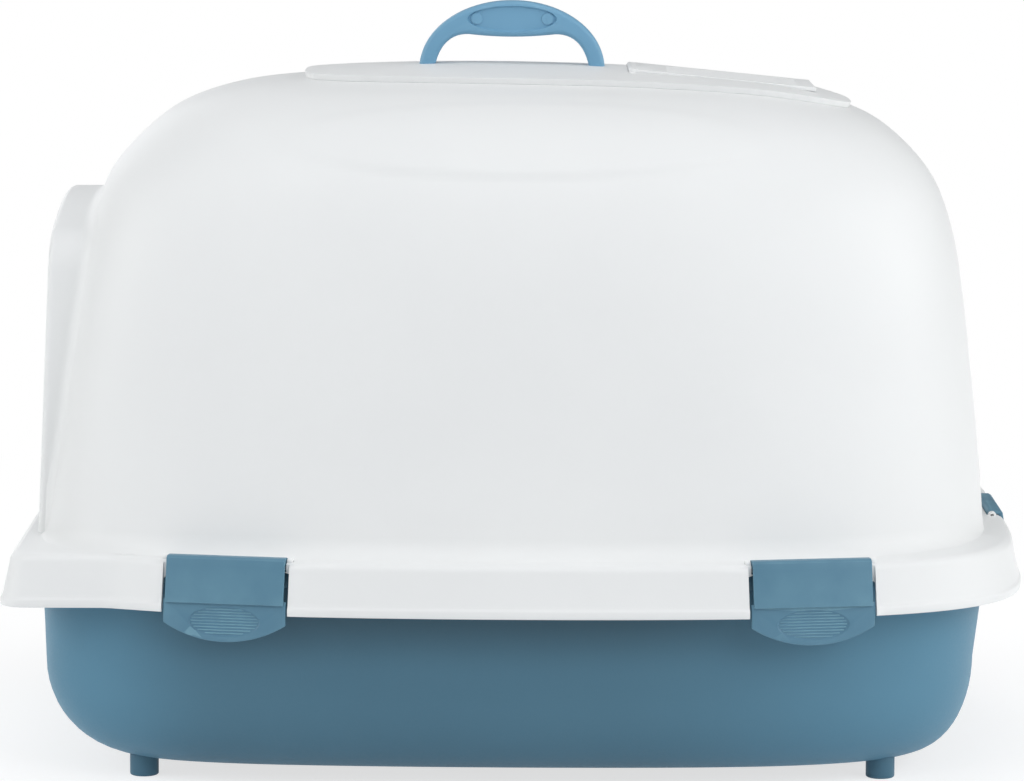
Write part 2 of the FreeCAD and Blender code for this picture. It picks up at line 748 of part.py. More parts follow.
def make_flap():
    """The swing flap: a panel with a raised border, hung on a barrel."""
    x0 = flap_rod_x - 0.5 * flap_thick
    panel = door_prism(flap_margin, x0, x0 + flap_thick)
    lid = box(x0 - over, x0 + flap_thick + over, -half_width, half_width, flap_rod_z, grip_top_z)
    panel = panel.cut(lid)
    field = door_prism(flap_margin + flap_bead_width, x0 - flap_bead, x0 + flap_thick + flap_bead)
    border = door_prism(flap_margin, x0 - flap_bead, x0 + flap_thick + flap_bead).cut(field)
    bare_z = flap_rod_z - flap_bead_drop
    border = border.cut(box(x0 - big, x0 + big, -half_width, half_width, bare_z, grip_top_z))
    half = door_half_width - flap_margin
    barrel = rod(flap_barrel_radius, V(flap_rod_x, -half, flap_rod_z), V(flap_rod_x, half, flap_rod_z))
    bore = rod(flap_rod_radius + running_gap, V(flap_rod_x, -half - over, flap_rod_z),
               V(flap_rod_x, half + over, flap_rod_z))
    return panel.fuse(border).fuse(barrel).cut(bore)


def clip_tab_y(z):
    """Outer face of a clip's tab at a height, in the clip's frame."""
    top_y = -skirt_inset(clip_fold_z) + clip_proud - clip_fold_step
    return top_y + clip_tab_kick * (clip_fold_z - z) / (clip_fold_z - clip_bottom_z)


def clip_tab():
    """The thumb tab: a leaning plate with square upper and arched lower corners."""
    low_z, root_z = clip_bottom_z - over, clip_fold_z + clip_tab_root
    top_y, low_y = clip_tab_y(clip_fold_z), clip_tab_y(low_z)
    face = [V(0, top_y, root_z), V(0, top_y, clip_fold_z), V(0, low_y, low_z)]
    tab = prism(face + [p - V(0, clip_thick, 0) for p in reversed(face)], V(clip_width, 0, 0))
    half = 0.5 * clip_width
    tab.translate(V(-half, 0, 0))
    corners = [V(sx * half, -2.0 * clip_reach, z) for z in (clip_corner_z, root_z) for sx in (-1, 1)]
    arc = Part.Arc(corners[0], V(0, -2.0 * clip_reach, clip_bottom_z), corners[1]).toShape()
    sides = [Part.LineSegment(corners[i], corners[j]).toShape() for i, j in ((1, 3), (3, 2), (2, 0))]
    outline = Part.Face(Part.Wire(Part.__sortEdges__([arc] + sides))).extrude(V(0, 3.0 * clip_reach, 0))
    return tab.common(outline)


def make_clip():
    """A clip in its own frame: plate over the flange, face, thumb tab, hook and hinge barrel."""
    bend_z = flange_z - clip_bend_drop
    face_top = -skirt_inset(bend_z) + clip_proud
    face_low = -skirt_inset(clip_fold_z) + clip_proud
    nose_y, under_z = face_top - clip_nose_drop, clip_top_z - clip_thick
    outer = [V(0, -clip_axis_inset, clip_top_z), V(0, nose_y - clip_nose[0], clip_top_z),
             V(0, nose_y + clip_nose[1] - clip_nose_drop, clip_top_z - clip_nose_drop),
             V(0, face_top, bend_z), V(0, face_low, clip_fold_z), V(0, face_low - clip_thick, clip_fold_z),
             V(0, face_top - clip_thick, bend_z), V(0, face_top - clip_thick - clip_nose_drop, under_z),
             V(0, -clip_axis_inset, under_z)]
    half_plate = 0.5 * clip_plate_width
    plate = prism(outer, V(clip_plate_width, 0, 0))
    plate.translate(V(-half_plate, 0, 0))
    ends = [V(sx * half_plate, -clip_axis_inset, clip_axis_z) for sx in (-1, 1)]
    past = V(over, 0, 0)
    bore = rod(clip_pin_radius + running_gap, ends[0] - past, ends[1] + past)
    solid = plate.fuse([clip_tab(), rod(clip_barrel_radius, *ends), clip_hook()]).removeSplitter()
    return solid.cut([bore, thumb_recess()])


def clip_hook():
    """The hook under the tray's rim; its upper face is an arc about the hinge, so it swings clear."""
    rim_corner_y = -rim_inset + clip_axis_inset
    rim_corner_z = clip_axis_z - (rim_top_z - rim_lip_height)
    radius = math.hypot(rim_corner_y, rim_corner_z) + clip_hook_gap
    half = 0.5 * clip_hook_width
    ends = (V(-half, -clip_axis_inset, clip_axis_z), V(half, -clip_axis_inset, clip_axis_z))
    tube = rod(radius + clip_hook_wall, *ends).cut(rod(radius, *ends))
    mid_z = clip_axis_z - radius
    face_y = -skirt_inset(mid_z) + clip_proud - 0.5 * clip_thick
    return tube.common(box(-half, half, -clip_hook_reach, face_y, lip_z, mid_z + clip_hook_reach))


def thumb_recess():
    """An oval recess with raised ribs, in the face of the tab."""
    half_x, half_z = thumb_half
    centre_z = 0.5 * (clip_fold_z + clip_bottom_z) + thumb_rise
    floor_y = clip_tab_y(centre_z) - thumb_depth
    oval = ellipse_disc(half_x, half_z, V(0, floor_y, centre_z), clip_thick)
    pitch = 2.0 * half_z / (thumb_ribs + 1)
    ribs = []
    for i in range(thumb_ribs):
        z = centre_z - half_z + (i + 1) * pitch
        ribs.append(rod(0.5 * thumb_rib, V(-half_x, floor_y, z), V(half_x, floor_y, z)))
    return oval.cut(ribs)


def handle_opening(base_z):
    """The finger opening: upright at the roof, rounded corners and a sagging top."""
    plane_y = -0.5 * handle_thick - over
    height = handle_underside_z - base_z
    inner_half = handle_half_span - handle_leg
    ends, edges = [], []
    for side in (-1, 1):
        foot = V(handle_x + side * inner_half, plane_y, base_z)
        low_pull = foot + V(-side * arch_pull[0], 0, arch_rise[0] * height)
        high_pull = foot + V(-side * arch_pull[1], 0, arch_rise[1] * height)
        end = V(handle_x + side * handle_sag_half, plane_y, handle_underside_z)
        curve = Part.BezierCurve()
        curve.setPoles([foot, low_pull, high_pull, end])
        edges.append(curve.toShape())
        ends.append((foot, end))
    middle = V(handle_x, plane_y, handle_underside_z - handle_sag)
    edges.append(Part.Arc(ends[0][1], middle, ends[1][1]).toShape())
    edges.append(Part.LineSegment(ends[0][0], ends[1][0]).toShape())
    return Part.Face(Part.Wire(Part.__sortEdges__(edges))).extrude(V(0, handle_thick + 2 * over, 0))


def handle_tangs(base_z):
    """The two tangs, each with a barb on both sides under the roof."""
    parts = []
    y = 0.5 * tang_thick - skin_gap
    half = 0.5 * handle_leg - skin_gap
    for side in (-1, 1):
        centre = handle_x + side * (handle_half_span - 0.5 * handle_leg)
        low, high = base_z - tang_depth, base_z + panel_thick + over
        parts.append(box(centre - half, centre + half, -y, y, low, high))
        under = roof_z_at(centre) - wall - barb_drop
        root = V(centre - half, y - barb_root, under)
        wedge = prism([root, root + V(0, barb_root + barb, 0), root - V(0, 0, barb_height)], V(2 * half, 0, 0))
        parts.append(wedge)
        parts.append(wedge.mirror(V(0, 0, 0), Y_AXIS))
    return parts


def make_handle(shell):
    """The arched handle, with a thumb oval on each side and barbed tangs below the roof."""
    base_z = roof_z_at(handle_x)
    rise = grip_top_z - base_z
    curve = Part.Ellipse(V(0, 0, 0), max(handle_half_span, rise), min(handle_half_span, rise))
    disc = Part.Face(Part.Wire([curve.toShape()])).extrude(V(0, 0, handle_thick))
    disc.rotate(V(0, 0, 0), X_AXIS, 90)
    disc.translate(V(handle_x, 0.5 * handle_thick, base_z))
    solid = disc.cut(box(-big, big, -big, big, -big, base_z)).cut(handle_opening(base_z))
    solid = soften(solid, handle_edge,
                   lambda e: e.BoundBox.YLength < skin_gap and e.BoundBox.ZMax > base_z + over)
    recess_z = 0.5 * (handle_underside_z - handle_sag + grip_top_z)
    floor_y = 0.5 * handle_thick - recess_depth
    recess = ellipse_disc(recess_half[0], recess_half[1], V(handle_x, floor_y, recess_z), recess_depth + over)
    panel_top = shell.copy()
    panel_top.translate(V(0, 0, panel_thick + 2 * skin_gap))
    solid = solid.cut([recess, recess.mirror(V(0, 0, 0), Y_AXIS), panel_top])
    return solid.multiFuse(handle_tangs(base_z))


def build():
    """Every node of the box, by name."""
    shell = dome()
    nodes = {"tray": make_tray(), "hood": make_hood(shell), "roof_panel": make_roof_panel(shell),
             "filter_cover": make_filter_cover(), "filter_basket": make_filter_basket(),
             "charcoal_filter": make_charcoal_pad(), "handle": make_handle(shell),
             "entry_flap": make_flap(), "flap_rod": flap_rod()}
    for name, (x, y) in foot_places().items():
        nodes[name] = make_foot(x, y)
    clip, pin = make_clip(), clip_pin()
    for name, site in clip_sites().items():
        nodes[name] = placed(clip, site)
        nodes[name.replace("clip", "clip_pin")] = placed(pin, site)
    return nodes


os.makedirs("parts", exist_ok=True)
for node, shape in build().items():
    shape.exportStep("parts/%s.step" % node)
    print("%-20s solids %d, %.0f mm3" % (node, len(shape.Solids), shape.Volume))
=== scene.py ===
"""Cat litter box with a lift-off hood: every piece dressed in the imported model's own frame."""

import json
import logging
import math
from collections.abc import Callable, Iterable, Sequence
from dataclasses import dataclass, field
from enum import Enum

import bmesh
import bpy
from mathutils import Matrix, Vector

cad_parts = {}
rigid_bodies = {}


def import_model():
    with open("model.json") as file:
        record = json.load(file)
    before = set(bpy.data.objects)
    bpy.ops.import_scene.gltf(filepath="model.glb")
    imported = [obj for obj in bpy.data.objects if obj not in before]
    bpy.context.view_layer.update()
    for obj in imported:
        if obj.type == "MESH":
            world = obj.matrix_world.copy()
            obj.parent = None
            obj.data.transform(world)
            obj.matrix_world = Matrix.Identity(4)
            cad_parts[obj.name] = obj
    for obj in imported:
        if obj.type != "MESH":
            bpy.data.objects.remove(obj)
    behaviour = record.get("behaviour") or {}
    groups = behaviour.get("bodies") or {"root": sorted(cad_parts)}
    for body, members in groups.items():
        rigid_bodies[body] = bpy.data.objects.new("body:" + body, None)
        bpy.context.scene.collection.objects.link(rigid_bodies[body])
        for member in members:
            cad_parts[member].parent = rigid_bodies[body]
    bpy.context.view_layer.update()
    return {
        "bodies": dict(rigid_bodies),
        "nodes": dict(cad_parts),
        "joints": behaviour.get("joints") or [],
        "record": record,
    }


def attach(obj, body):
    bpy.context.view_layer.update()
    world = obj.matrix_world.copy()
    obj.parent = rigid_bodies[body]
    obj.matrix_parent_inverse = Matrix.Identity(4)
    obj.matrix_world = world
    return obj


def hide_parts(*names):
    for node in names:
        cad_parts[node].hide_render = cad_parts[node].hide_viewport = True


MM = 0.001
Station = tuple[float, float]
Reach = tuple[float, float, float]
Colour = tuple[float, float, float]
log = logging.getLogger("litter_box")


# ---- helpers for modelling by operators ----
class Cut(Enum):
    """How one solid changes another."""

    REMOVE = "DIFFERENCE"
    ADD = "UNION"


def deselect_all() -> None:
    """Leave edit mode and deselect every object."""
    if bpy.context.object is not None and bpy.context.object.mode != "OBJECT":
        bpy.ops.object.mode_set(mode="OBJECT")
    bpy.ops.object.select_all(action="DESELECT")


def select_only(piece: bpy.types.Object) -> None:
    """Make one object the active and only selected one."""
    deselect_all()
    piece.select_set(True)
    bpy.context.view_layer.objects.active = piece


def named(name: str) -> bpy.types.Object:
    """Name the active object and its mesh.

    Args:
        name: the new name.

    Returns:
        The object.
    """
    piece = bpy.context.object
    piece.name = name
    piece.data.name = name
    return piece


def settle(piece: bpy.types.Object) -> None:
    """Put a piece's place, turn and scale into its mesh."""
    select_only(piece)
    bpy.ops.object.transform_apply(location=True, rotation=True, scale=True)


def apply_modifier(piece: bpy.types.Object, kind: str, **values: object) -> None:
    """Add a modifier with the given settings and apply it.

    Args:
        piece: the object.
        kind: the modifier's type name.
        values: its settings by name.
    """
    select_only(piece)
    modifier = piece.modifiers.new(kind.title(), kind)
    for key, value in values.items():
        setattr(modifier, key, value)
    bpy.ops.object.modifier_apply(modifier=modifier.name)


def carve(piece: bpy.types.Object, tool: bpy.types.Object, cut: Cut = Cut.REMOVE) -> None:
    """Cut a tool out of a piece, or join it on, and remove the tool.

    Args:
        piece: the object that changes.
        tool: the solid that cuts or is joined.
        cut: which of the two.
    """
    apply_modifier(piece, "BOOLEAN", operation=cut.value, object=tool, solver="EXACT")
    bpy.data.objects.remove(tool)


def soften_edges(piece: bpy.types.Object, width: float, steps: int = 3, angle: float = 35.0) -> None:
    """Round the edges sharper than an angle.

    Args:
        piece: the object.
        width: reach of the rounding in millimetres.
        steps: segments across it.
        angle: least angle in degrees.
    """
    apply_modifier(piece, "BEVEL", width=width * MM, segments=steps, limit_method="ANGLE",
                   angle_limit=math.radians(angle), miter_outer="MITER_ARC", harden_normals=False)


def shade(piece: bpy.types.Object, angle: float = 40.0) -> None:
    """Shade smooth, apart from edges sharper than an angle in degrees."""
    select_only(piece)
    bpy.ops.object.shade_smooth_by_angle(angle=math.radians(angle))


def join(pieces: Sequence[bpy.types.Object], name: str) -> bpy.types.Object:
    """Join pieces into the first one.

    Args:
        pieces: the objects.
        name: the name of the whole.

    Returns:
        The joined object.
    """
    select_only(pieces[0])
    for piece in pieces[1:]:
        piece.select_set(True)
    if len(pieces) > 1:
        bpy.ops.object.join()
    return named(name)


def placed_copy(piece: bpy.types.Object, name: str, place: Matrix) -> bpy.types.Object:
    """A copy with its own mesh, moved by a matrix that goes into the mesh.

    Args:
        piece: the object to copy.
        name: the copy's name.
        place: where the copy goes.

    Returns:
        The copy.
    """
    select_only(piece)
    bpy.ops.object.duplicate()
    copy = named(name)
    copy.data.transform(place)
    return copy


def cube(name: str, low: Sequence[float], high: Sequence[float]) -> bpy.types.Object:
    """A box between two corners, in millimetres.

    Args:
        name: its name.
        low: the lowest corner.
        high: the highest corner.

    Returns:
        The box.
    """
    deselect_all()
    centre = [0.5 * (a + b) * MM for a, b in zip(low, high)]
    size = [(b - a) * MM for a, b in zip(low, high)]
    bpy.ops.mesh.primitive_cube_add(size=1.0, location=centre, scale=size)
    piece = named(name)
    settle(piece)
    return piece


def round_bar(name: str, radius: float, start: Sequence[float], end: Sequence[float],
              sides: int = 32) -> bpy.types.Object:
    """A round bar between two points, in millimetres.

    Args:
        name: its name.
        radius: its radius.
        start: the middle of one end.
        end: the middle of the other.
        sides: how many sides it has.

    Returns:
        The bar.
    """
    first, last = Vector(start) * MM, Vector(end) * MM
    along = last - first
    deselect_all()
    bpy.ops.mesh.primitive_cylinder_add(vertices=sides, radius=radius * MM, depth=along.length)
    piece = named(name)
    turn = along.to_track_quat("Z", "Y").to_matrix().to_4x4()
    piece.data.transform(Matrix.Translation((first + last) / 2) @ turn)
    return piece


class RingSkin:
    """A skin grown ring by ring, by extruding its open edge onto one outline after another."""

    def __init__(self, name: str, first: Sequence[Vector]) -> None:
        """Start from a circle laid on the first outline.

        Args:
            name: the piece's name.
            first: the outline, in metres.
        """
        deselect_all()
        bpy.ops.mesh.primitive_circle_add(vertices=len(first), radius=first[0].length + MM)
        self.piece = named(name)
        bpy.ops.object.mode_set(mode="EDIT")
        self._places = {tuple(v.co): i for i, v in enumerate(bmesh.from_edit_mesh(self.piece.data).verts)}
        self._lay(first)

    def _lay(self, outline: Sequence[Vector]) -> None:
        """Move the selected ring onto an outline."""
        mesh = bmesh.from_edit_mesh(self.piece.data)
        places = {}
        for vertex in mesh.verts:
            if vertex.select:
                number = self._places[tuple(vertex.co)]
                vertex.co = outline[number]
                places[tuple(vertex.co)] = number
        self._places = places
        bmesh.update_edit_mesh(self.piece.data)

    def grow(self, outlines: Iterable[Sequence[Vector]]) -> "RingSkin":
        """Extrude the open edge onto each outline in turn."""
        for outline in outlines:
            bpy.ops.mesh.extrude_region_move()
            self._lay(outline)
        return self

    def close(self) -> bpy.types.Object:
        """Fill both open ends and turn the faces outwards.

        Returns:
            The finished solid.
        """
        bpy.ops.mesh.edge_face_add()
        self.select_open_edge()
        bpy.ops.mesh.edge_face_add()
        return self.finish()

    def select_open_edge(self) -> None:
        """Select only the edges that have a face on one side."""
        bpy.ops.mesh.select_all(action="DESELECT")
        bpy.ops.mesh.select_non_manifold(extend=False, use_wire=False, use_boundary=True,
                                         use_multi_face=False, use_non_contiguous=False, use_verts=False)

    def finish(self) -> bpy.types.Object:
        """Turn the faces outwards and leave edit mode."""
        bpy.ops.mesh.select_all(action="SELECT")
        bpy.ops.mesh.normals_make_consistent(inside=False)
        bpy.ops.object.mode_set(mode="OBJECT")
        return self.piece


def pushed_profile(name: str, profile: Sequence[Vector], along: Vector) -> bpy.types.Object:
    """A solid made of a flat profile extruded along a vector; both in millimetres.

    Args:
        name: its name.
        profile: the profile's corners in order.
        along: how far and which way it is pushed.

    Returns:
        The solid.
    """
    first = [point * MM for point in profile]
    return RingSkin(name, first).grow([[point + along * MM for point in first]]).close()


# ---- outlines ----
def cubic(poles: Sequence[Vector], steps: int) -> list[Vector]:
    """Points of a cubic curve with four poles, both ends included."""
    points = []
    for i in range(steps + 1):
        t = i / steps
        shares = ((1 - t) ** 3, 3 * t * (1 - t) ** 2, 3 * t * t * (1 - t), t ** 3)
        points.append(sum((pole * share for pole, share in zip(poles, shares)), Vector()))
    return points


def oval_ring(middle: Station, half: Station, y_at: Callable[[float], float]) -> list[Vector]:
    """An upright oval.

    Args:
        middle: its middle's x and z, in millimetres.
        half: its half width and half height.
        y_at: where it lies at a height.

    Returns:
        Points in metres.
    """
    ring = []
    for i in range(72):
        turn = 2 * math.pi * i / 72
        z = middle[1] + half[1] * math.sin(turn)
        ring.append(Vector((middle[0] + half[0] * math.cos(turn), y_at(z), z)) * MM)
    return ring


class RayFan:
    """Directions that every ring of a skin shares, so that its rings stay in step."""

    def __init__(self, guides: Sequence[Sequence[Vector]], count: int, middle_x: float = 0.0,
                 turn_share: float = 0.9) -> None:
        """Choose directions that suit some half outlines: closer together where those turn.

        Args:
            guides: half outlines from the front's middle to the rear's, in millimetres.
            count: points of a whole ring.
            middle_x: where the directions start.
            turn_share: weight of turning against length.
        """
        self.middle_x = middle_x
        measures = [self._measure(guide, turn_share) for guide in guides]
        grid = [math.pi * (1.0 - i / 1440) for i in range(1441)]
        together = [sum(self._read(measure, angle) for measure in measures) for angle in grid]
        self.angles, at = [], 0
        for i in range(count // 2):
            wanted = together[-1] * (i + 0.5) / (count // 2)
            while together[at + 1] < wanted:
                at += 1
            share = (wanted - together[at]) / (together[at + 1] - together[at])
            self.angles.append(grid[at] + (grid[at + 1] - grid[at]) * share)

    def _angle(self, point: Vector) -> float:
        """Direction of a point seen from the middle."""
        return math.atan2(max(point.y, 0.0), point.x - self.middle_x)

    def _measure(self, guide: Sequence[Vector], turn_share: float) -> list[tuple[float, float]]:
        """Angle and running measure of a guide's points."""
        steps = [b - a for a, b in zip(guide, guide[1:])]
        total = sum(step.length for step in steps)
        rows, last = [(math.pi, 0.0)], None
        for step, point in zip(steps, guide[1:]):
            turn = 0.0 if last is None else abs(step.angle(last, 0.0))
            rows.append((self._angle(point), rows[-1][1] + step.length / total + turn_share * turn / math.pi))
            last = step
        return rows

    @staticmethod
    def _read(rows: Sequence[tuple[float, float]], angle: float) -> float:
        """The running measure at an angle."""
        low, high = 0, len(rows) - 1
        while high - low > 1:
            middle = (low + high) // 2
            low, high = (middle, high) if rows[middle][0] >= angle else (low, middle)
        (a0, m0), (a1, m1) = rows[low], rows[high]
        return m0 if a0 == a1 else m0 + (m1 - m0) * min(1.0, max(0.0, (a0 - angle) / (a0 - a1)))

    def ring(self, half: Sequence[Vector], within: Sequence[Vector] | None = None) -> list[Vector]:
        """The whole outline, read along the directions.

        Args:
            half: half of it, from the front's middle to the rear's, in millimetres.
            within: a half outline that it may not pass.

        Returns:
            The closed outline, in metres.
        """
        side, at = [], 0
        for angle in self.angles:
            way = Vector((math.cos(angle), math.sin(angle)))
            while at < len(half) - 2 and self._angle(half[at + 1]) > angle:
                at += 1
            a, b = half[at], half[at + 1]
            across = [way.x * p.y - way.y * (p.x - self.middle_x) for p in (a, b)]
            share = across[0] / (across[0] - across[1])
            side.append(a.lerp(b, min(1.0, max(0.0, share))) * MM)
        if within is not None:
            middle = Vector((self.middle_x, 0.0)) * MM
            for i, cap in enumerate(self.ring(within)[:len(side)]):
                if (cap.xy - middle).length < (side[i].xy - middle).length:
                    side[i] = Vector((cap.x, cap.y, side[i].z))
        return side + [Vector((p.x, -p.y, p.z)) for p in reversed(side)]


@dataclass(frozen=True)
class BowedOutline:
    """A bowed box with rounded corners, seen from above; it may slope from front to rear."""

    front: Station
    rear: Station
    half: float
    front_power: float
    rear_power: float
    bow: float = 1.0

    widest_x: float = 20.0
    bow_reach: float = 3600.0
    rim_half_width: float = 248.0

    def half_points(self, grow: Sequence[float] = (0.0, 0.0, 0.0), drop: float = 0.0,
                    steps: int = 360) -> list[Vector]:
        """Half of the outline, from the front's middle to the rear's.

        Args:
            grow: how much wider it is at the front, the rear and the sides.
            drop: how much lower it lies.
            steps: how finely it is read.

        Returns:
            Points in millimetres.
        """
        front_x, rear_x, half = self.front[0] - grow[0], self.rear[0] + grow[1], self.half + grow[2]
        middle = 0.5 * (front_x + rear_x)
        slope = (self.rear[1] - self.front[1]) / (self.rear[0] - self.front[0])
        points = []
        for i in range(steps + 1):
            angle = math.pi * (1.0 - i / steps)
            c, s = math.cos(angle), max(0.0, math.sin(angle))
            power = self.rear_power if c > 0 else self.front_power
            k = (abs(c) ** power + s ** power) ** (-1.0 / power)
            x = middle + (rear_x - middle if c > 0 else middle - front_x) * c * k
            sag = self.bow * (x - self.widest_x) ** 2 / self.bow_reach * half / self.rim_half_width
            z = self.front[1] - drop + slope * (x - self.front[0])
            points.append(Vector((x, (half - sag) * s * k, z)))
        return points


@dataclass(frozen=True)
class RimOutline:
    """The rim's outline: bowed sides, and a straight narrower nose at the entrance."""

    length: float = 642.5
    half_width: float = 248.0
    power: float = 5.0
    nose_half: float = 212.0
    nose_corner: float = 14.0
    shoulder: Station = (-226.0, -261.0)
    pull: float = 12.0
    widest_x: float = 20.0
    bow_reach: float = 3600.0

    def side_y(self, x: float, inset: float = 0.0) -> float:
        """Half width at a station on the bowed side."""
        bowed = self.half_width - inset - (x - self.widest_x) ** 2 / self.bow_reach
        return bowed * (1.0 - abs(x / (0.5 * self.length - inset)) ** self.power) ** (1.0 / self.power)

    def _bowed(self, angle: float, inset: float, z: float) -> Vector:
        """A point of the bowed sides and the rear."""
        c, s = math.cos(angle), max(0.0, math.sin(angle))
        k = (abs(c) ** self.power + s ** self.power) ** (-1.0 / self.power)
        x = (0.5 * self.length - inset) * c * k
        return Vector((x, (self.half_width - inset - (x - self.widest_x) ** 2 / self.bow_reach) * s * k, z))

    def half_points(self, inset: float, z: float) -> list[Vector]:
        """Half of the outline, moved in by an inset, from the front's middle to the rear's.

        Args:
            inset: how far inside the lip it lies.
            z: its height.

        Returns:
            Points in millimetres.
        """
        reach, nose = 0.5 * self.length - inset, self.nose_half - inset
        corner_x, corner_y = self.nose_corner - reach, nose - self.nose_corner
        points = [Vector((-reach, corner_y * i / 12, z)) for i in range(12)]
        for i in range(13):
            turn = 0.5 * math.pi * i / 12
            points.append(Vector((corner_x - self.nose_corner * math.cos(turn),
                                  corner_y + self.nose_corner * math.sin(turn), z)))
        start_x, end_x = self.shoulder
        last = math.atan2(self.side_y(start_x, inset) / self.half_width, start_x / reach)
        bowed = [self._bowed(last * (1.0 - i / 198), inset, z) for i in range(199)]
        start, end = bowed[0], Vector((end_x, nose, z))
        lean = (start - bowed[22]).normalized() * self.pull
        poles = (end, end + Vector((self.pull, 0.0, 0.0)), start + lean, start)
        return points + cubic(poles, 16) + bowed[1:]


def quarter(steps: int) -> list[tuple[float, float]]:
    """Sine and cosine of the angles of a quarter turn, both ends included."""
    turns = [0.5 * math.pi * i / steps for i in range(steps + 1)]
    return [(math.sin(turn), math.cos(turn)) for turn in turns]


# ---- finishes ----
class NodeBench:
    """Adds nodes to a tree and wires them up, left to right."""

    def __init__(self, tree: bpy.types.NodeTree) -> None:
        """Work on a node tree."""
        self.tree = tree

    def add(self, kind: str, values: dict[str | int, object] | None = None,
            **settings: object) -> bpy.types.Node:
        """Add a node.

        Args:
            kind: its type.
            values: numbers, colours or sockets for its inputs.
            settings: its own properties.

        Returns:
            The node.
        """
        node = self.tree.nodes.new(kind)
        for key, value in settings.items():
            setattr(node, key, value)
        self.feed(node, values or {})
        return node

    def feed(self, node: bpy.types.Node, values: dict[str | int, object]) -> None:
        """Set or link a node's inputs.

        Args:
            node: the node.
            values: numbers, colours or sockets for its inputs.
        """
        for key, value in values.items():
            if isinstance(value, bpy.types.NodeSocket):
                self.tree.links.new(value, node.inputs[key])
            else:
                node.inputs[key].default_value = value

    def spread(self, value: bpy.types.NodeSocket, low: float, high: float) -> bpy.types.NodeSocket:
        """The middle of a noise's range, spread between two numbers."""
        return self.add("ShaderNodeMapRange", {"Value": value, "From Min": 0.3, "From Max": 0.7,
                                               "To Min": low, "To Max": high}).outputs[0]


def new_material(name: str) -> tuple[bpy.types.Material, NodeBench, bpy.types.Node]:
    """Start a material.

    Args:
        name: its name.

    Returns:
        The material, its bench and its shader.
    """
    material = bpy.data.materials.new(name)
    material.use_nodes = True
    return material, NodeBench(material.node_tree), material.node_tree.nodes["Principled BSDF"]


def effect_group(name: str, inputs: dict[str, float],
                 outputs: Sequence[str]) -> tuple[NodeBench, bpy.types.Node, bpy.types.Node]:
    """Start a shader node group.

    Args:
        name: the group's name.
        inputs: the first value of each input.
        outputs: the name of each output.

    Returns:
        The bench, the group's input node and its output node.
    """
    tree = bpy.data.node_groups.new(name, "ShaderNodeTree")
    for label, value in inputs.items():
        socket = tree.interface.new_socket(label, in_out="INPUT", socket_type="NodeSocketFloat")
        socket.default_value = value
    for label in outputs:
        tree.interface.new_socket(label, in_out="OUTPUT", socket_type="NodeSocketFloat")
    bench = NodeBench(tree)
    return bench, bench.add("NodeGroupInput"), bench.add("NodeGroupOutput")


def moulded_skin_group() -> bpy.types.NodeTree:
    """Fine spark-eroded texture of moulded plastic, with its slow waviness.

    Returns:
        A group that gives a height, a mottle mask and a fine mask.
    """
    bench, source, sink = effect_group("MouldedSkin", {"Grain": 900.0, "Drift": 9.0},
                                       ("Height", "Mottle", "Fine"))
    place = bench.add("ShaderNodeTexCoord").outputs["Object"]
    fine = bench.add("ShaderNodeTexNoise", {"Vector": place, "Scale": source.outputs["Grain"], "Detail": 3.0,
                                            "Roughness": 0.62})
    slow = bench.add("ShaderNodeTexNoise", {"Vector": place, "Scale": source.outputs["Drift"], "Detail": 2.0,
                                            "Roughness": 0.5})
    wave = bench.add("ShaderNodeMath", {0: slow.outputs["Fac"], 1: 0.6}, operation="MULTIPLY")
    height = bench.add("ShaderNodeMath", {0: fine.outputs["Fac"], 1: wave.outputs[0]}, operation="ADD")
    mottle = bench.add("ShaderNodeMapRange", {"Value": slow.outputs["Fac"], "From Min": 0.35,
                                              "From Max": 0.65})
    bench.feed(sink, {"Height": height.outputs[0], "Mottle": mottle.outputs[0], "Fine": fine.outputs["Fac"]})
    return bench.tree


def edge_highlight_group() -> bpy.types.NodeTree:
    """Painted highlight on the outer edges, lighter where they are sharp.

    Returns:
        A group that gives a mask, 1 on the edges with the painted highlight.
    """
    bench, source, sink = effect_group("PaintedEdgeHighlight", {"Reach": 0.06}, ("Mask",))
    shape = bench.add("ShaderNodeNewGeometry").outputs["Pointiness"]
    top = bench.add("ShaderNodeMath", {0: source.outputs["Reach"], 1: 0.52}, operation="ADD")
    edge = bench.add("ShaderNodeMapRange", {"Value": shape, "From Min": 0.52, "From Max": top.outputs[0]})
    place = bench.add("ShaderNodeTexCoord").outputs["Object"]
    patch = bench.add("ShaderNodeTexNoise", {"Vector": place, "Scale": 60.0, "Detail": 3.0})
    broken = bench.spread(patch.outputs["Fac"], 0.35, 1.0)
    mask = bench.add("ShaderNodeMath", {0: edge.outputs[0], 1: broken}, operation="MULTIPLY", use_clamp=True)
    bench.feed(sink, {"Mask": mask.outputs[0]})
    return bench.tree


def tub_painted_light_group() -> bpy.types.NodeTree:
    """Painted light and shade along the tub: lighter towards its ends, darker below its rim.

    Returns:
        A group that gives a mask of its ends, lightened with painted light, and one of the band below its
        rim, darkened with painted shadow.
    """
    bench, source, sink = effect_group("TubPaintedLight", {"Foot": 0.076, "Head": 0.119}, ("LitEnds", "RimShadow"))
    place = bench.add("ShaderNodeTexCoord").outputs["Object"]
    axis = bench.add("ShaderNodeSeparateXYZ", {"Vector": place})
    rear, front, high = (
        bench.add("ShaderNodeMapRange", {"Value": axis.outputs[way], "From Min": low, "From Max": top},
                  interpolation_type="SMOOTHSTEP")
        for way, low, top in (("X", 0.05, 0.27), ("X", -0.18, -0.27),
                              ("Z", source.outputs["Foot"], source.outputs["Head"])))
    # mask of the painted light at the tub's ends
    ends = bench.add("ShaderNodeMath", {0: rear.outputs[0], 1: front.outputs[0]}, operation="ADD")
    rest = bench.add("ShaderNodeMath", {0: 1.0, 1: ends.outputs[0]}, operation="SUBTRACT")
    # mask of the painted shadow below the rim, away from the ends
    under = bench.add("ShaderNodeMath", {0: high.outputs[0], 1: rest.outputs[0]}, operation="MULTIPLY")
    bench.feed(sink, {"LitEnds": ends.outputs[0], "RimShadow": under.outputs[0]})
    return bench.tree


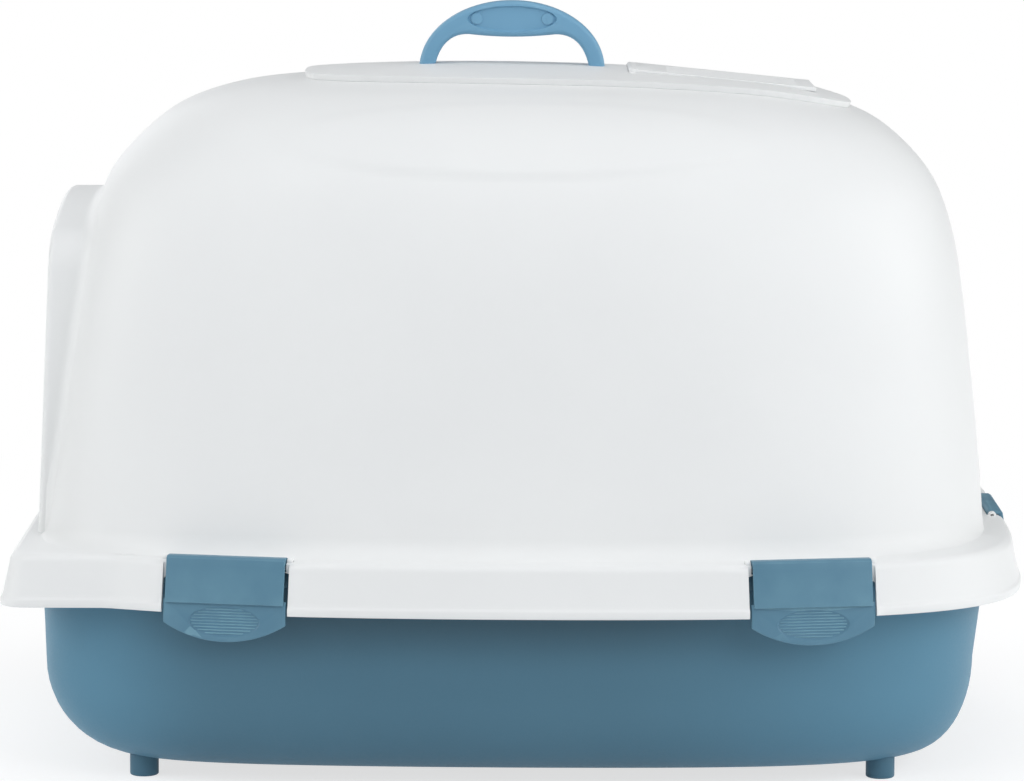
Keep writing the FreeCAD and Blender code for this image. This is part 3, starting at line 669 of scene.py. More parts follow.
@dataclass(frozen=True)
class MouldedPlastic:
    """Injection-moulded plastic with a fine matte texture."""

    name: str
    colour: Colour
    shade: Colour
    # colour of the painted highlight on the sharp outer edges
    edge_highlight: Colour
    roughness: float = 0.52
    grain: float = 900.0
    depth: float = 0.00006

    def _painted_light(self, bench: NodeBench, colour: bpy.types.NodeSocket) -> bpy.types.NodeSocket:
        """The colour after any painted light or shade over the piece."""
        return colour

    def make(self) -> bpy.types.Material:
        """Build the material.

        Returns:
            The material.
        """
        material, bench, shader = new_material(self.name)
        skin = bench.add("ShaderNodeGroup", node_tree=bpy.data.node_groups["MouldedSkin"])
        skin.inputs["Grain"].default_value = self.grain
        edges = bench.add("ShaderNodeGroup", node_tree=bpy.data.node_groups["PaintedEdgeHighlight"])
        base = bench.add("ShaderNodeMix", {0: skin.outputs["Mottle"], 6: (*self.shade, 1.0),
                                           7: (*self.colour, 1.0)}, data_type="RGBA")
        # painted highlight mixed onto the sharp outer edges
        edge_lit = bench.add("ShaderNodeMix", {0: edges.outputs["Mask"], 6: self._painted_light(bench, base.outputs[2]),
                                           7: (*self.edge_highlight, 1.0)}, data_type="RGBA")
        rough = bench.spread(skin.outputs["Fine"], self.roughness - 0.06, self.roughness + 0.06)
        bump = bench.add("ShaderNodeBump", {"Height": skin.outputs["Height"], "Strength": 0.5,
                                            "Distance": self.depth})
        bench.feed(shader, {"Base Color": edge_lit.outputs[2], "Roughness": rough,
                            "Normal": bump.outputs["Normal"], "Specular IOR Level": 0.36})
        return material


@dataclass(frozen=True)
class PaintedLightTubPlastic(MouldedPlastic):
    """Moulded plastic with painted light towards the tub's ends and a painted shadow below its rim."""

    # strength of the painted light at the ends, then of the painted shadow below the rim
    pale: float = 0.44
    deep: float = 0.40

    def _painted_light(self, bench: NodeBench, colour: bpy.types.NodeSocket) -> bpy.types.NodeSocket:
        """The colour scaled by the tub's two masks: painted light at the ends, painted shadow below the rim.
        """
        tone = bench.add("ShaderNodeGroup", node_tree=bpy.data.node_groups["TubPaintedLight"])
        # lightening by the painted light at the ends
        up = bench.add("ShaderNodeMath", {0: tone.outputs["LitEnds"], 1: self.pale, 2: 1.0},
                       operation="MULTIPLY_ADD")
        # darkening by the painted shadow below the rim
        down = bench.add("ShaderNodeMath", {0: tone.outputs["RimShadow"], 1: self.deep}, operation="MULTIPLY")
        scale = bench.add("ShaderNodeMath", {0: up.outputs[0], 1: down.outputs[0]}, operation="SUBTRACT")
        scaled = bench.add("ShaderNodeVectorMath", {0: colour, "Scale": scale.outputs[0]}, operation="SCALE")
        return scaled.outputs[0]


@dataclass(frozen=True)
class FrostedPlastic:
    """Translucent flap plastic, frosted on one side."""

    name: str = "FlapFrosted"
    colour: Colour = (0.72, 0.80, 0.84)

    def make(self) -> bpy.types.Material:
        """Build the material.

        Returns:
            The material.
        """
        material, bench, shader = new_material(self.name)
        skin = bench.add("ShaderNodeGroup", node_tree=bpy.data.node_groups["MouldedSkin"])
        skin.inputs["Grain"].default_value = 500.0
        rough = bench.spread(skin.outputs["Fine"], 0.24, 0.36)
        bump = bench.add("ShaderNodeBump", {"Height": skin.outputs["Height"], "Strength": 0.4,
                                            "Distance": 0.00005})
        bench.feed(shader, {"Roughness": rough, "Normal": bump.outputs["Normal"],
                            "Base Color": (*self.colour, 1.0), "Transmission Weight": 0.65, "IOR": 1.45})
        return material


@dataclass(frozen=True)
class CharcoalFoam:
    """Open black filter foam."""

    name: str = "CharcoalFoam"

    def make(self) -> bpy.types.Material:
        """Build the material.

        Returns:
            The material.
        """
        material, bench, shader = new_material(self.name)
        place = bench.add("ShaderNodeTexCoord").outputs["Object"]
        cells = bench.add("ShaderNodeTexVoronoi", {"Vector": place, "Scale": 700.0})
        tone = bench.add("ShaderNodeMix", {0: cells.outputs["Distance"], 6: (0.008, 0.008, 0.008, 1.0),
                                           7: (0.06, 0.06, 0.065, 1.0)}, data_type="RGBA")
        bump = bench.add("ShaderNodeBump", {"Height": cells.outputs["Distance"], "Strength": 0.9,
                                            "Distance": 0.0006})
        bench.feed(shader, {"Base Color": tone.outputs[2], "Normal": bump.outputs["Normal"],
                            "Roughness": 0.95})
        return material


@dataclass(frozen=True)
class DrawnSteel:
    """Drawn wire of the hinge pins."""

    name: str = "DrawnSteel"

    def make(self) -> bpy.types.Material:
        """Build the material.

        Returns:
            The material.
        """
        material, bench, shader = new_material(self.name)
        place = bench.add("ShaderNodeTexCoord").outputs["Object"]
        lines = bench.add("ShaderNodeTexNoise", {"Vector": place, "Scale": 1400.0, "Detail": 4.0})
        bench.feed(shader, {"Roughness": bench.spread(lines.outputs["Fac"], 0.2, 0.38),
                            "Base Color": (0.62, 0.62, 0.62, 1.0), "Metallic": 1.0})
        return material


class Slot(Enum):
    """The record's material slots."""

    HOOD = "hood_white"
    TRAY = "tray_blue"
    CLIP = "clip_blue"
    HANDLE = "handle_blue"
    FOOT = "foot_blue"
    BASKET = "basket_white"
    CHARCOAL = "charcoal"
    FLAP = "flap_clear"
    PIN = "pin_steel"


class Finishes:
    """Every finish of the box, one material for each slot."""

    def __init__(self) -> None:
        """Build the shared effects, then the materials."""
        moulded_skin_group()
        edge_highlight_group()
        tub_painted_light_group()
        white = (0.803, 0.814, 0.812)
        blue = ((0.068, 0.168, 0.240), (0.064, 0.160, 0.230), (0.13, 0.25, 0.32))
        # the third colour of each plastic is its painted edge highlight
        makers = {
            Slot.HOOD: MouldedPlastic("HoodWhite", white, (0.790, 0.801, 0.800),
                                      (0.86, 0.87, 0.868), 0.5, 700.0),
            Slot.BASKET: MouldedPlastic("BasketWhite", white, (0.77, 0.78, 0.79),
                                        (0.84, 0.85, 0.85), 0.5, 900.0),
            Slot.TRAY: PaintedLightTubPlastic("TrayBlue", *blue, 0.58, 700.0),
            Slot.FOOT: MouldedPlastic("FootBlue", *blue, 0.54, 900.0),
            Slot.CLIP: MouldedPlastic("ClipBlue", (0.084, 0.200, 0.288), (0.080, 0.190, 0.275),
                                      (0.17, 0.34, 0.43), 0.46, 1000.0),
            Slot.HANDLE: MouldedPlastic("HandleBlue", (0.165, 0.360, 0.530), (0.157, 0.345, 0.508),
                                        (0.26, 0.46, 0.58), 0.44, 1000.0),
            Slot.CHARCOAL: CharcoalFoam(),
            Slot.FLAP: FrostedPlastic(),
            Slot.PIN: DrawnSteel(),
        }
        self.materials = {slot: maker.make() for slot, maker in makers.items()}

    def dress(self, piece: bpy.types.Object, slot: Slot) -> None:
        """Give a piece the finish of a slot."""
        piece.data.materials.clear()
        piece.data.materials.append(self.materials[slot])

    def dress_node(self, frame: dict, node: str, slot: Slot) -> None:
        """Give a CAD node the finish of a slot.

        Args:
            frame: the loaded frame.
            node: the node's name.
            slot: its slot.
        """
        piece = frame["nodes"][node]
        for holder in piece.material_slots:
            holder.material = self.materials[slot]
        if not piece.material_slots:
            piece.data.materials.append(self.materials[slot])


def seat(piece: bpy.types.Object, body: str, slot: Slot, finishes: Finishes, *nodes: str) -> None:
    """Finish a piece, put it on its body and let it stand for its nodes.

    Args:
        piece: the finished mesh.
        body: the body it moves with.
        slot: the material slot of its finish.
        finishes: the box's finishes.
        nodes: the CAD nodes it replaces.
    """
    finishes.dress(piece, slot)
    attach(piece, body)
    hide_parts(*nodes)
    log.info("%s rides on %s, %d faces", piece.name, body, len(piece.data.polygons))


# ---- the clips' places on the rim ----
def clip_places(rim: RimOutline) -> dict[str, Matrix]:
    """Where each clip sits: x along the rim, y outwards.

    Args:
        rim: the rim's outline.

    Returns:
        A matrix for each clip's name.
    """
    places = {}
    for end, x in (("front", -181.3), ("rear", 179.7)):
        for label, side in (("near", -1), ("far", 1)):
            yaw = math.atan(0.5 * (rim.side_y(x + 1.0) - rim.side_y(x - 1.0))) * side
            turn = Matrix.Rotation(yaw + (0.0 if side > 0 else math.pi), 4, "Z")
            spot = Vector((x, side * rim.side_y(x), 0)) * MM
            places[f"clip_{label}_{end}"] = Matrix.Translation(spot) @ turn
    rear = Matrix.Translation(Vector((0.5 * rim.length, 0, 0)) * MM)
    places["clip_rear"] = rear @ Matrix.Rotation(-0.5 * math.pi, 4, "Z")
    return places


# ---- the tray ----
@dataclass
class Tray:
    """The blue tub with its turned-down rim, on four pegs."""

    rim: RimOutline
    count: int = 144
    floor_z: float = 11.0
    front_x: float = -306.0
    rear_x: float = 300.7
    half: float = 226.0
    lean: Reach = (3.9, 8.4, 9.0)
    rounding: Reach = (56.9, 33.6, 43.5)
    rounding_z: float = 59.6
    front_power: tuple[float, float] = (7.5, 5.8)
    rear_power: float = 5.06
    wall: float = 3.0
    rim_inset: float = 11.2
    rim_z: tuple[float, float] = (134.0, 143.5)
    rim_wall: float = 2.4
    foot: tuple[float, float] = (9.1, 11.0)
    foot_x: tuple[float, float] = (-236.9, 228.4)
    foot_y: float = 148.0
    fan: RayFan = field(init=False)

    def __post_init__(self) -> None:
        """Choose the directions of the tub's rings."""
        tub = BowedOutline((self.front_x, 0.0), (self.rear_x, 0.0), self.half, self.front_power[0],
                           self.rear_power).half_points()
        self.fan = RayFan([tub, tub, self.rim.half_points(self.rim_inset, 0.0)], self.count)

    def _level(self, z: float, insets: Iterable[float], offset: float, rise: float = 0.0) -> list[Vector]:
        """One outline of the tub, moved in by front, rear and side amounts and by an offset."""
        front, rear, side = insets
        low, high = self.front_power
        shape = BowedOutline((self.front_x + front + offset, z), (self.rear_x - rear - offset, z),
                             self.half - side - offset, low + (high - low) * rise, self.rear_power)
        cap = self.rim_inset + self.rim_wall + 0.6 + offset
        return self.fan.ring(shape.half_points(), self.rim.half_points(cap, z))

    def _wall_levels(self, offset: float, top_z: float) -> list[list[Vector]]:
        """Outlines from the floor's middle up to the rim, for the outer or the inner skin."""
        floor, up = self.floor_z + offset, self.rounding_z - offset
        reach = [value - offset for value in self.rounding]
        levels = []
        for share in (0.3, 0.6, 0.85):
            middle = [far * (1.0 - share) for far in (190.0, 190.0, 150.0)]
            insets = [a + b + c for a, b, c in zip(self.lean, reach, middle)]
            levels.append(self._level(floor, insets, offset))
        for s, c in quarter(14):
            insets = [a + b * (1 - s) for a, b in zip(self.lean, reach)]
            levels.append(self._level(floor + up * (1 - c), insets, offset))
        for i in range(1, 9):
            rise = i / 8
            insets = [a * (1 - rise) for a in self.lean]
            levels.append(self._level(floor + up + (top_z - floor - up) * rise, insets, offset, rise))
        return levels

    def _rim_levels(self) -> list[list[Vector]]:
        """Outlines round the turned-down rim, from its underside over its top."""
        low, top = self.rim_z
        edge = 1.4
        stations = [(self.rim_inset + self.rim_wall + 1.2, top - self.rim_wall),
                    (self.rim_inset + self.rim_wall, top - self.rim_wall - 1.2),
                    (self.rim_inset + self.rim_wall, low + 0.4), (self.rim_inset + self.rim_wall - 0.4, low),
                    (self.rim_inset + 0.4, low), (self.rim_inset, low + 0.4), (self.rim_inset, top - edge)]
        stations += [(self.rim_inset + edge * (1 - c), top - edge * (1 - s)) for s, c in quarter(4)[1:]]
        return [self.fan.ring(self.rim.half_points(inset, z)) for inset, z in stations]

    def build(self, finishes: Finishes) -> None:
        """Model the tub and the pegs."""
        low, top = self.rim_z
        outer = self._wall_levels(0.0, top - self.rim_wall)
        inner = self._wall_levels(self.wall, top)
        skin = RingSkin("tray_tub", outer[0]).grow(outer[1:] + self._rim_levels() + list(reversed(inner)))
        tub = skin.close()
        shade(tub, 50.0)
        seat(tub, "tray_body", Slot.TRAY, finishes, "tray")
        radius, height = self.foot
        for end, x in zip(("front", "rear"), self.foot_x):
            for label, side in (("near", -1), ("far", 1)):
                peg = round_bar(f"peg_{label}_{end}", radius, (x, side * self.foot_y, 0.0),
                                (x, side * self.foot_y, height + 5.0), 48)
                soften_edges(peg, 1.2, 4)
                shade(peg)
                seat(peg, "tray_body", Slot.FOOT, finishes, f"tray_foot_{label}_{end}")


# ---- the hood ----
@dataclass
class HoodShape:
    """The dome's outlines from the flange up, and the smooth skin through them."""

    levels: tuple[BowedOutline, ...] = (
        BowedOutline((-301.4, 148.6), (299.5, 148.6), 219.8, 7.0, 4.2),
        BowedOutline((-293.3, 200.0), (295.4, 200.0), 212.5, 7.0, 4.2),
        BowedOutline((-286.7, 250.0), (290.2, 250.0), 206.0, 6.8, 4.1),
        BowedOutline((-280.3, 300.0), (284.6, 300.0), 198.0, 6.4, 4.0),
        BowedOutline((-273.6, 341.0), (278.6, 337.0), 188.0, 5.8, 3.8),
        BowedOutline((-263.6, 374.0), (267.2, 369.5), 174.5, 5.0, 3.6),
        BowedOutline((-247.3, 395.0), (249.0, 392.4), 158.0, 4.3, 3.4),
        BowedOutline((-221.0, 414.5), (224.0, 409.8), 136.0, 3.8, 3.2),
        BowedOutline((-183.0, 427.3), (184.0, 422.9), 108.0, 3.4, 3.0),
        BowedOutline((-138.0, 433.0), (137.0, 429.6), 78.0, 3.0, 2.8),
        BowedOutline((-88.0, 436.0), (84.0, 433.9), 48.0, 2.7, 2.6),
        BowedOutline((-34.0, 437.6), (30.0, 436.6), 18.0, 2.4, 2.4),
    )
    pad_middle: Station = (1.0, 402.0)
    pad_half: tuple[float, float] = (163.0, 23.0)
    pad_rise: float = 2.3
    knots: list[float] = field(default_factory=list)

    def __post_init__(self) -> None:
        """Measure the way up the dome's side and front."""
        self.knots = [0.0]
        for a, b in zip(self.levels, self.levels[1:]):
            self.knots.append(self.knots[-1] + math.hypot(b.half - a.half, b.front[1] - a.front[1]))

    @staticmethod
    def _numbers(level: BowedOutline) -> list[float]:
        """A level's seven numbers in order."""
        return [*level.front, *level.rear, level.half, level.front_power, level.rear_power]

    def at(self, way: float) -> BowedOutline:
        """The outline at a distance up the skin, on a smooth curve through the levels."""
        way = min(max(way, 0.0), self.knots[-1])
        i = min(sum(1 for knot in self.knots[1:-1] if knot < way), len(self.knots) - 2)
        rows = [self._numbers(level) for level in self.levels]

        def slope(j: int, column: int) -> float:
            """Rate of change of one number at a level."""
            low, high = max(j - 1, 0), min(j + 1, len(rows) - 1)
            return (rows[high][column] - rows[low][column]) / (self.knots[high] - self.knots[low])

        gap = self.knots[i + 1] - self.knots[i]
        t = (way - self.knots[i]) / gap
        mix = (2 * t ** 3 - 3 * t ** 2 + 1, t ** 3 - 2 * t ** 2 + t, 3 * t ** 2 - 2 * t ** 3, t ** 3 - t ** 2)
        n = [mix[0] * rows[i][c] + mix[1] * gap * slope(i, c) + mix[2] * rows[i + 1][c]
             + mix[3] * gap * slope(i + 1, c) for c in range(7)]
        return BowedOutline((n[0], n[1]), (n[2], n[3]), n[4], n[5], n[6])

    def way_at(self, z: float) -> float:
        """Distance up the skin where the front is at a height."""
        low, high = 0.0, self.knots[-1]
        for _ in range(40):
            middle = 0.5 * (low + high)
            low, high = (middle, high) if self.at(middle).front[1] < z else (low, middle)
        return low

    def front_x(self, y: float, z: float) -> float:
        """X of the dome's front at a place across it and a height."""
        level = self.at(self.way_at(z))
        x, middle = level.front[0], 0.5 * (level.front[0] + level.rear[0])
        for _ in range(3):
            half = level.half * (1.0 - (x - level.widest_x) ** 2 / level.bow_reach / level.rim_half_width)
            share = min(0.999, abs(y) / half)
            fall = (1.0 - share ** level.front_power) ** (1.0 / level.front_power)
            x = middle - (middle - level.front[0]) * fall
        return x

    def outline(self, way: float, fan: RayFan, offset: float = 0.0) -> list[Vector]:
        """The skin's outline at a distance up it.

        Args:
            way: the distance.
            fan: the skin's directions.
            offset: how far inside the outer skin it lies.

        Returns:
            The outline in metres.
        """
        shape = self.at(way)
        sink = offset * min(1.0, 1.35 * (1.0 - shape.half / self.levels[0].half))
        points = fan.ring(shape.half_points([-offset] * 3, sink))
        return points if offset else [self._padded(point) for point in points]

    def _padded(self, point: Vector) -> Vector:
        """A point of the outer skin, moved out where the long shallow pad rises from the shoulder."""
        u = (point.x / MM - self.pad_middle[0]) / self.pad_half[0]
        v = (point.z / MM - self.pad_middle[1]) / self.pad_half[1]
        inside = 1.0 - u * u - v * v
        if inside <= 0.0 or abs(point.y) < 0.09:
            return point
        t = min(1.0, inside / 0.3)
        rise = self.pad_rise * t * t * (3.0 - 2.0 * t) * (0.68 - 0.32 * v) * MM
        side = math.copysign(1.0, point.y)
        return point + Vector((0.0, side * 0.72 * rise, 0.69 * rise))


@dataclass
class Hood:
    """The white hood: dome, porch, flange and skirt, with its roof panel."""

    rim: RimOutline
    shape: HoodShape
    count: int = 176
    wall: float = 3.0
    lip_z: float = 118.0
    flange_z: float = 150.0
    flange_wall: float = 2.8
    skirt_wall: float = 2.8
    draft: float = 4.3
    edge_round: float = 5.0
    bead: tuple[float, float] = (6.0, 1.2)
    seat_rib: tuple[float, float] = (17.0, 19.0)
    rib_drop: float = 3.3
    fillet: tuple[float, float, float] = (3.5, 0.3, 11.0)
    fillet_z: float = 13.0
    porch_half: tuple[float, float] = (122.0, 126.0)
    porch_top: float = 359.0
    porch_spring: float = 314.5
    porch_corner: float = 30.0
    porch_face: tuple[Station, Station] = ((-296.4, 350.0), (-305.0, 155.0))
    porch_edge: float = 4.0
    porch_inner_x: float = -245.0
    crease: float = 7.0
    clip_room: tuple[float, float] = (39.8, 37.6)
    pin: Station = (-13.4, 149.9)
    ear: tuple[float, float] = (2.7, 3.4)
    ring_gaps: Reach = (9.0, 2.6, 7.0)
    shoulder_z: Station = (362.0, 431.0)
    door_half: float = 97.0
    door_z: tuple[float, float] = (178.0, 333.0)
    door_corners: tuple[float, float] = (24.0, 12.0)
    fan: RayFan = field(init=False)

    def __post_init__(self) -> None:
        """Choose the directions of the hood's rings."""
        levels = [self.shape.levels[i].half_points() for i in (0, 3, 6, 9)]
        self.fan = RayFan([self.rim.half_points(0.0, 0.0), *levels], self.count)

    def _rim_ring(self, inset: float, z: float) -> list[Vector]:
        """One outline of the flange or skirt."""
        return self.fan.ring(self.rim.half_points(inset, z))

    def _skirt_rings(self) -> list[list[Vector]]:
        """Outlines from the flange's underside down inside the skirt, round the lip and up to the flange."""
        bead_z, step = self.lip_z + self.bead[0], self.bead[1]
        top_inset = step + self.draft
        under = self.flange_z - self.flange_wall
        near, far = self.seat_rib
        stations = [(far, under), (far, under - self.rib_drop), (near, under - self.rib_drop), (near, under),
                    (top_inset + self.skirt_wall + 1.0, under), (top_inset + self.skirt_wall, under - 1.0),
                    (self.skirt_wall + step, bead_z), (self.skirt_wall, self.lip_z + 0.5),
                    (self.skirt_wall - 0.5, self.lip_z), (0.9, self.lip_z), (0.25, self.lip_z + 0.25),
                    (0.0, self.lip_z + 0.9), (0.0, bead_z - 2.0), (0.12, bead_z - 1.3), (0.5, bead_z - 0.6),
                    (1.0, bead_z), (step + 0.08, bead_z + 0.7)]
        rise = self.flange_z - self.edge_round - bead_z
        stations += [(step + self.draft * share, bead_z + rise * share) for share in (0.12, 0.4, 0.7, 1.0)]
        stations += [(top_inset + self.edge_round * (1 - c), self.flange_z - self.edge_round * (1 - s))
                     for s, c in quarter(6)[1:]]
        return [self._rim_ring(inset, z) for inset, z in stations]

    def _fillet_rings(self) -> list[list[Vector]]:
        """Outlines of the hollow fillet between the flange and the dome."""
        edge = self.rim.half_points(self.bead[1] + self.draft + self.edge_round + 0.5, self.flange_z)
        rings = []
        for s, c in quarter(8)[:-1]:
            z = self.flange_z + self.fillet_z * (1 - c)
            foot = self.shape.at(self.shape.way_at(z))
            points = foot.half_points([reach * (1 - s) for reach in self.fillet])
            rings.append(self.fan.ring([Vector((p.x, p.y, z)) for p in points], edge))
        return rings

    def _ways(self) -> list[float]:
        """Distances up the dome where it has a ring, closer together on the shoulder."""
        way, last = self.shape.way_at(self.flange_z + self.fillet_z), self.shape.knots[-1]
        ways = []
        while way < last:
            ways.append(way)
            z = self.shape.at(way).front[1]
            side, shoulder, roof = self.ring_gaps
            way += side if z < self.shoulder_z[0] else shoulder if z < self.shoulder_z[1] else roof
        return ways + [last]

    def _shell(self) -> bpy.types.Object:
        """The closed double-walled skin of dome, flange and skirt."""
        ways = self._ways()
        under_way = self.shape.way_at(self.flange_z - 0.2)
        inside = [self.shape.outline(way, self.fan, self.wall) for way in reversed([under_way, *ways[::2]])]
        foot = self.shape.levels[0].half_points([-self.wall] * 3)
        inside.append(self.fan.ring([Vector((p.x, p.y, self.flange_z - self.flange_wall)) for p in foot],
                                    self.rim.half_points(self.seat_rib[1] + 0.4, 0.0)))
        outside = [self.shape.outline(way, self.fan) for way in ways]
        rings = inside + self._skirt_rings() + self._fillet_rings() + outside
        return RingSkin("hood_shell", rings[0]).grow(rings[1:]).close()

    def _face_x(self, z: float) -> float:
        """X of the porch's leaning face at a height."""
        (x1, z1), (x0, z0) = self.porch_face
        return x0 + (x1 - x0) * (z - z0) / (z1 - z0)

    def _arch(self, offset: float, x_at: Callable[[float, float], float], floor_z: float,
              arc_steps: int = 12) -> list[Vector]:
        """The porch's arch, moved in by an offset, on a surface.

        Args:
            offset: how far inside the porch's outer skin.
            x_at: the surface's X for a place across and a height.
            floor_z: where the arch ends below.
            arc_steps: points in each corner.

        Returns:
            The outline in metres.
        """
        top, corner = self.porch_top - offset, self.porch_corner - offset
        half_top, half_low = self.porch_half[0] - offset, self.porch_half[1] - offset
        run, drop = half_top - corner, self.porch_top - self.porch_spring - offset
        radius = (run ** 2 + drop ** 2 - corner ** 2) / (2.0 * (drop - corner))
        centre_z = top - radius
        lean = math.atan2(self.porch_spring - centre_z, run)
        side = [(half_low + (half_top - half_low) * i / 10, floor_z + (self.porch_spring - floor_z) * i / 10)
                for i in range(11)]
        turns = [lean * i / arc_steps for i in range(1, arc_steps + 1)]
        side += [(run + corner * math.cos(turn), self.porch_spring + corner * math.sin(turn))
                 for turn in turns]
        reach = 0.5 * math.pi - lean
        turns = [lean + reach * i / 14 for i in range(1, 14)]
        side += [(radius * math.cos(turn), centre_z + radius * math.sin(turn)) for turn in turns]
        points = side + [(0.0, top)] + [(-y, z) for y, z in reversed(side)]
        return [Vector((x_at(y, z), y, z)) * MM for y, z in points]

    def _porch(self) -> bpy.types.Object:
        """The filled porch, its front edge rounded and its root flared onto the dome."""
        floor_z = self.flange_z - 1.5
        rings = []
        for s, c in quarter(5):
            step = self.porch_edge * (1 - c)
            rings.append(self._arch(self.porch_edge * (1 - s), lambda y, z, step=step: self._face_x(z) + step,
                                    floor_z))

        def before_dome(gap: float) -> Callable[[float, float], float]:
            """A surface in front of the dome, and always behind the porch's face."""
            return lambda y, z: max(self.shape.front_x(y, z) - gap, self._face_x(z) + self.porch_edge + 0.5)

        for s, c in quarter(6):
            rings.append(self._arch(-self.crease * (1 - c), before_dome(self.crease * (1 - s)), floor_z))
        rings.append(self._arch(-self.crease, lambda y, z: self.porch_inner_x, floor_z))
        porch = RingSkin("porch_block", rings[0]).grow(rings[1:]).close()
        carve(porch, self._dome_core(0.5 * self.wall))
        return porch

    def _dome_core(self, offset: float) -> bpy.types.Object:
        """The dome as a filled solid, moved in by an offset."""
        foot = self.shape.levels[0].half_points([-offset] * 3)
        low = [self.fan.ring([Vector((p.x, p.y, z)) for p in foot])
               for z in (self.lip_z, self.flange_z - 0.2)]
        rings = low + [self.shape.outline(way, self.fan, offset) for way in self._ways()]
        return RingSkin("dome_core", rings[0]).grow(rings[1:]).close()

    def _porch_hollow(self) -> bpy.types.Object:
        """The room inside the porch, open to the dome."""
        floor_z = self.flange_z - 1.0
        rings = [self._arch(self.wall, lambda y, z: self._face_x(z) + self.wall, floor_z),
                 self._arch(self.wall, lambda y, z: self.porch_inner_x, floor_z)]
        return RingSkin("porch_room", rings[0]).grow(rings[1:]).close()

    def door_outline(self, margin: float, x: float, steps: int = 8) -> list[Vector]:
        """The entrance's outline, smaller by a margin, in millimetres.

        Args:
            margin: how far inside the opening.
            x: where it stands.
            steps: points in each corner.

        Returns:
            Its corners in order.
        """
        low, high = self.door_z[0] + margin, self.door_z[1] - margin
        half = self.door_half - margin
        foot, head = (corner - margin for corner in self.door_corners)
        points = []
        for side, z, radius, start in ((1, low, foot, -90.0), (1, high, head, 0.0), (-1, high, head, 90.0),
                                       (-1, low, foot, 180.0)):
            centre_y = side * (half - radius)
            centre_z = z + radius if z == low else z - radius
            for i in range(steps + 1):
                turn = math.radians(start + 90.0 * i / steps)
                points.append(Vector((x, centre_y + radius * math.cos(turn),
                                      centre_z + radius * math.sin(turn))))
        return points

    def _cut_clips(self, piece: bpy.types.Object, places: Iterable[Matrix]) -> None:
        """Cut the five clip notches."""
        wide, narrow = self.clip_room
        skirt = cube("skirt_notch", (-wide, -9.2, self.lip_z - 3.0), (wide, 9.0, self.flange_z + 1.0))
        hinge = cube("hinge_notch", (-narrow, -16.6, self.flange_z - 5.6), (narrow, 8.4, self.flange_z + 1.4))
        places = list(places)
        for notch in (skirt, hinge):
            tools = [placed_copy(notch, f"{notch.name}_{i}", place) for i, place in enumerate(places)]
            bpy.data.objects.remove(notch)
            carve(piece, join(tools, "notches"))

    def ears(self, places: Iterable[Matrix]) -> list[bpy.types.Object]:
        """The ears that hold the hinge pins, two for each clip."""
        made = []
        for side in (-1, 1):
            (y, z), (radius, width) = self.pin, self.ear
            x0, x1 = sorted((side * self.clip_room[1], side * (self.clip_room[1] + width)))
            knuckle = round_bar("ear", radius, (x0, y, z), (x1, y, z), 24)
            foot = cube("ear_foot", (x0, y - radius, z - 1.3), (x1, y + radius, z))
            made.append(join([knuckle, foot], "ear"))
        ear = join(made, "ears")
        soften_edges(ear, 0.25, 2)
        copies = [placed_copy(ear, f"ears_{i}", place) for i, place in enumerate(places)]
        bpy.data.objects.remove(ear)
        return copies

    def build(self, finishes: Finishes, places: dict[str, Matrix], roof: "Roof") -> bpy.types.Object:
        """Model the hood.

        Args:
            finishes: the box's finishes.
            places: where the clips sit.
            roof: the roof's parts, which tell where the filter's hole is.

        Returns:
            The hood before its holes are cut, for the roof panel to lie on.
        """
        shell = self._shell()
        select_only(shell)
        bpy.ops.object.duplicate()
        bare = named("bare_dome")
        carve(shell, self._porch(), Cut.ADD)
        carve(shell, self._porch_hollow())
        door = self.door_outline(0.0, -315.0)
        carve(shell, pushed_profile("door_way", door, Vector((26.0, 0, 0))))
        carve(shell, roof.hole())
        self._cut_clips(shell, places.values())
        hood = join([shell, *self.ears(places.values())], "hood_moulding")
        shade(hood, 38.0)
        seat(hood, "hood_body", Slot.HOOD, finishes, "hood")
        return bare


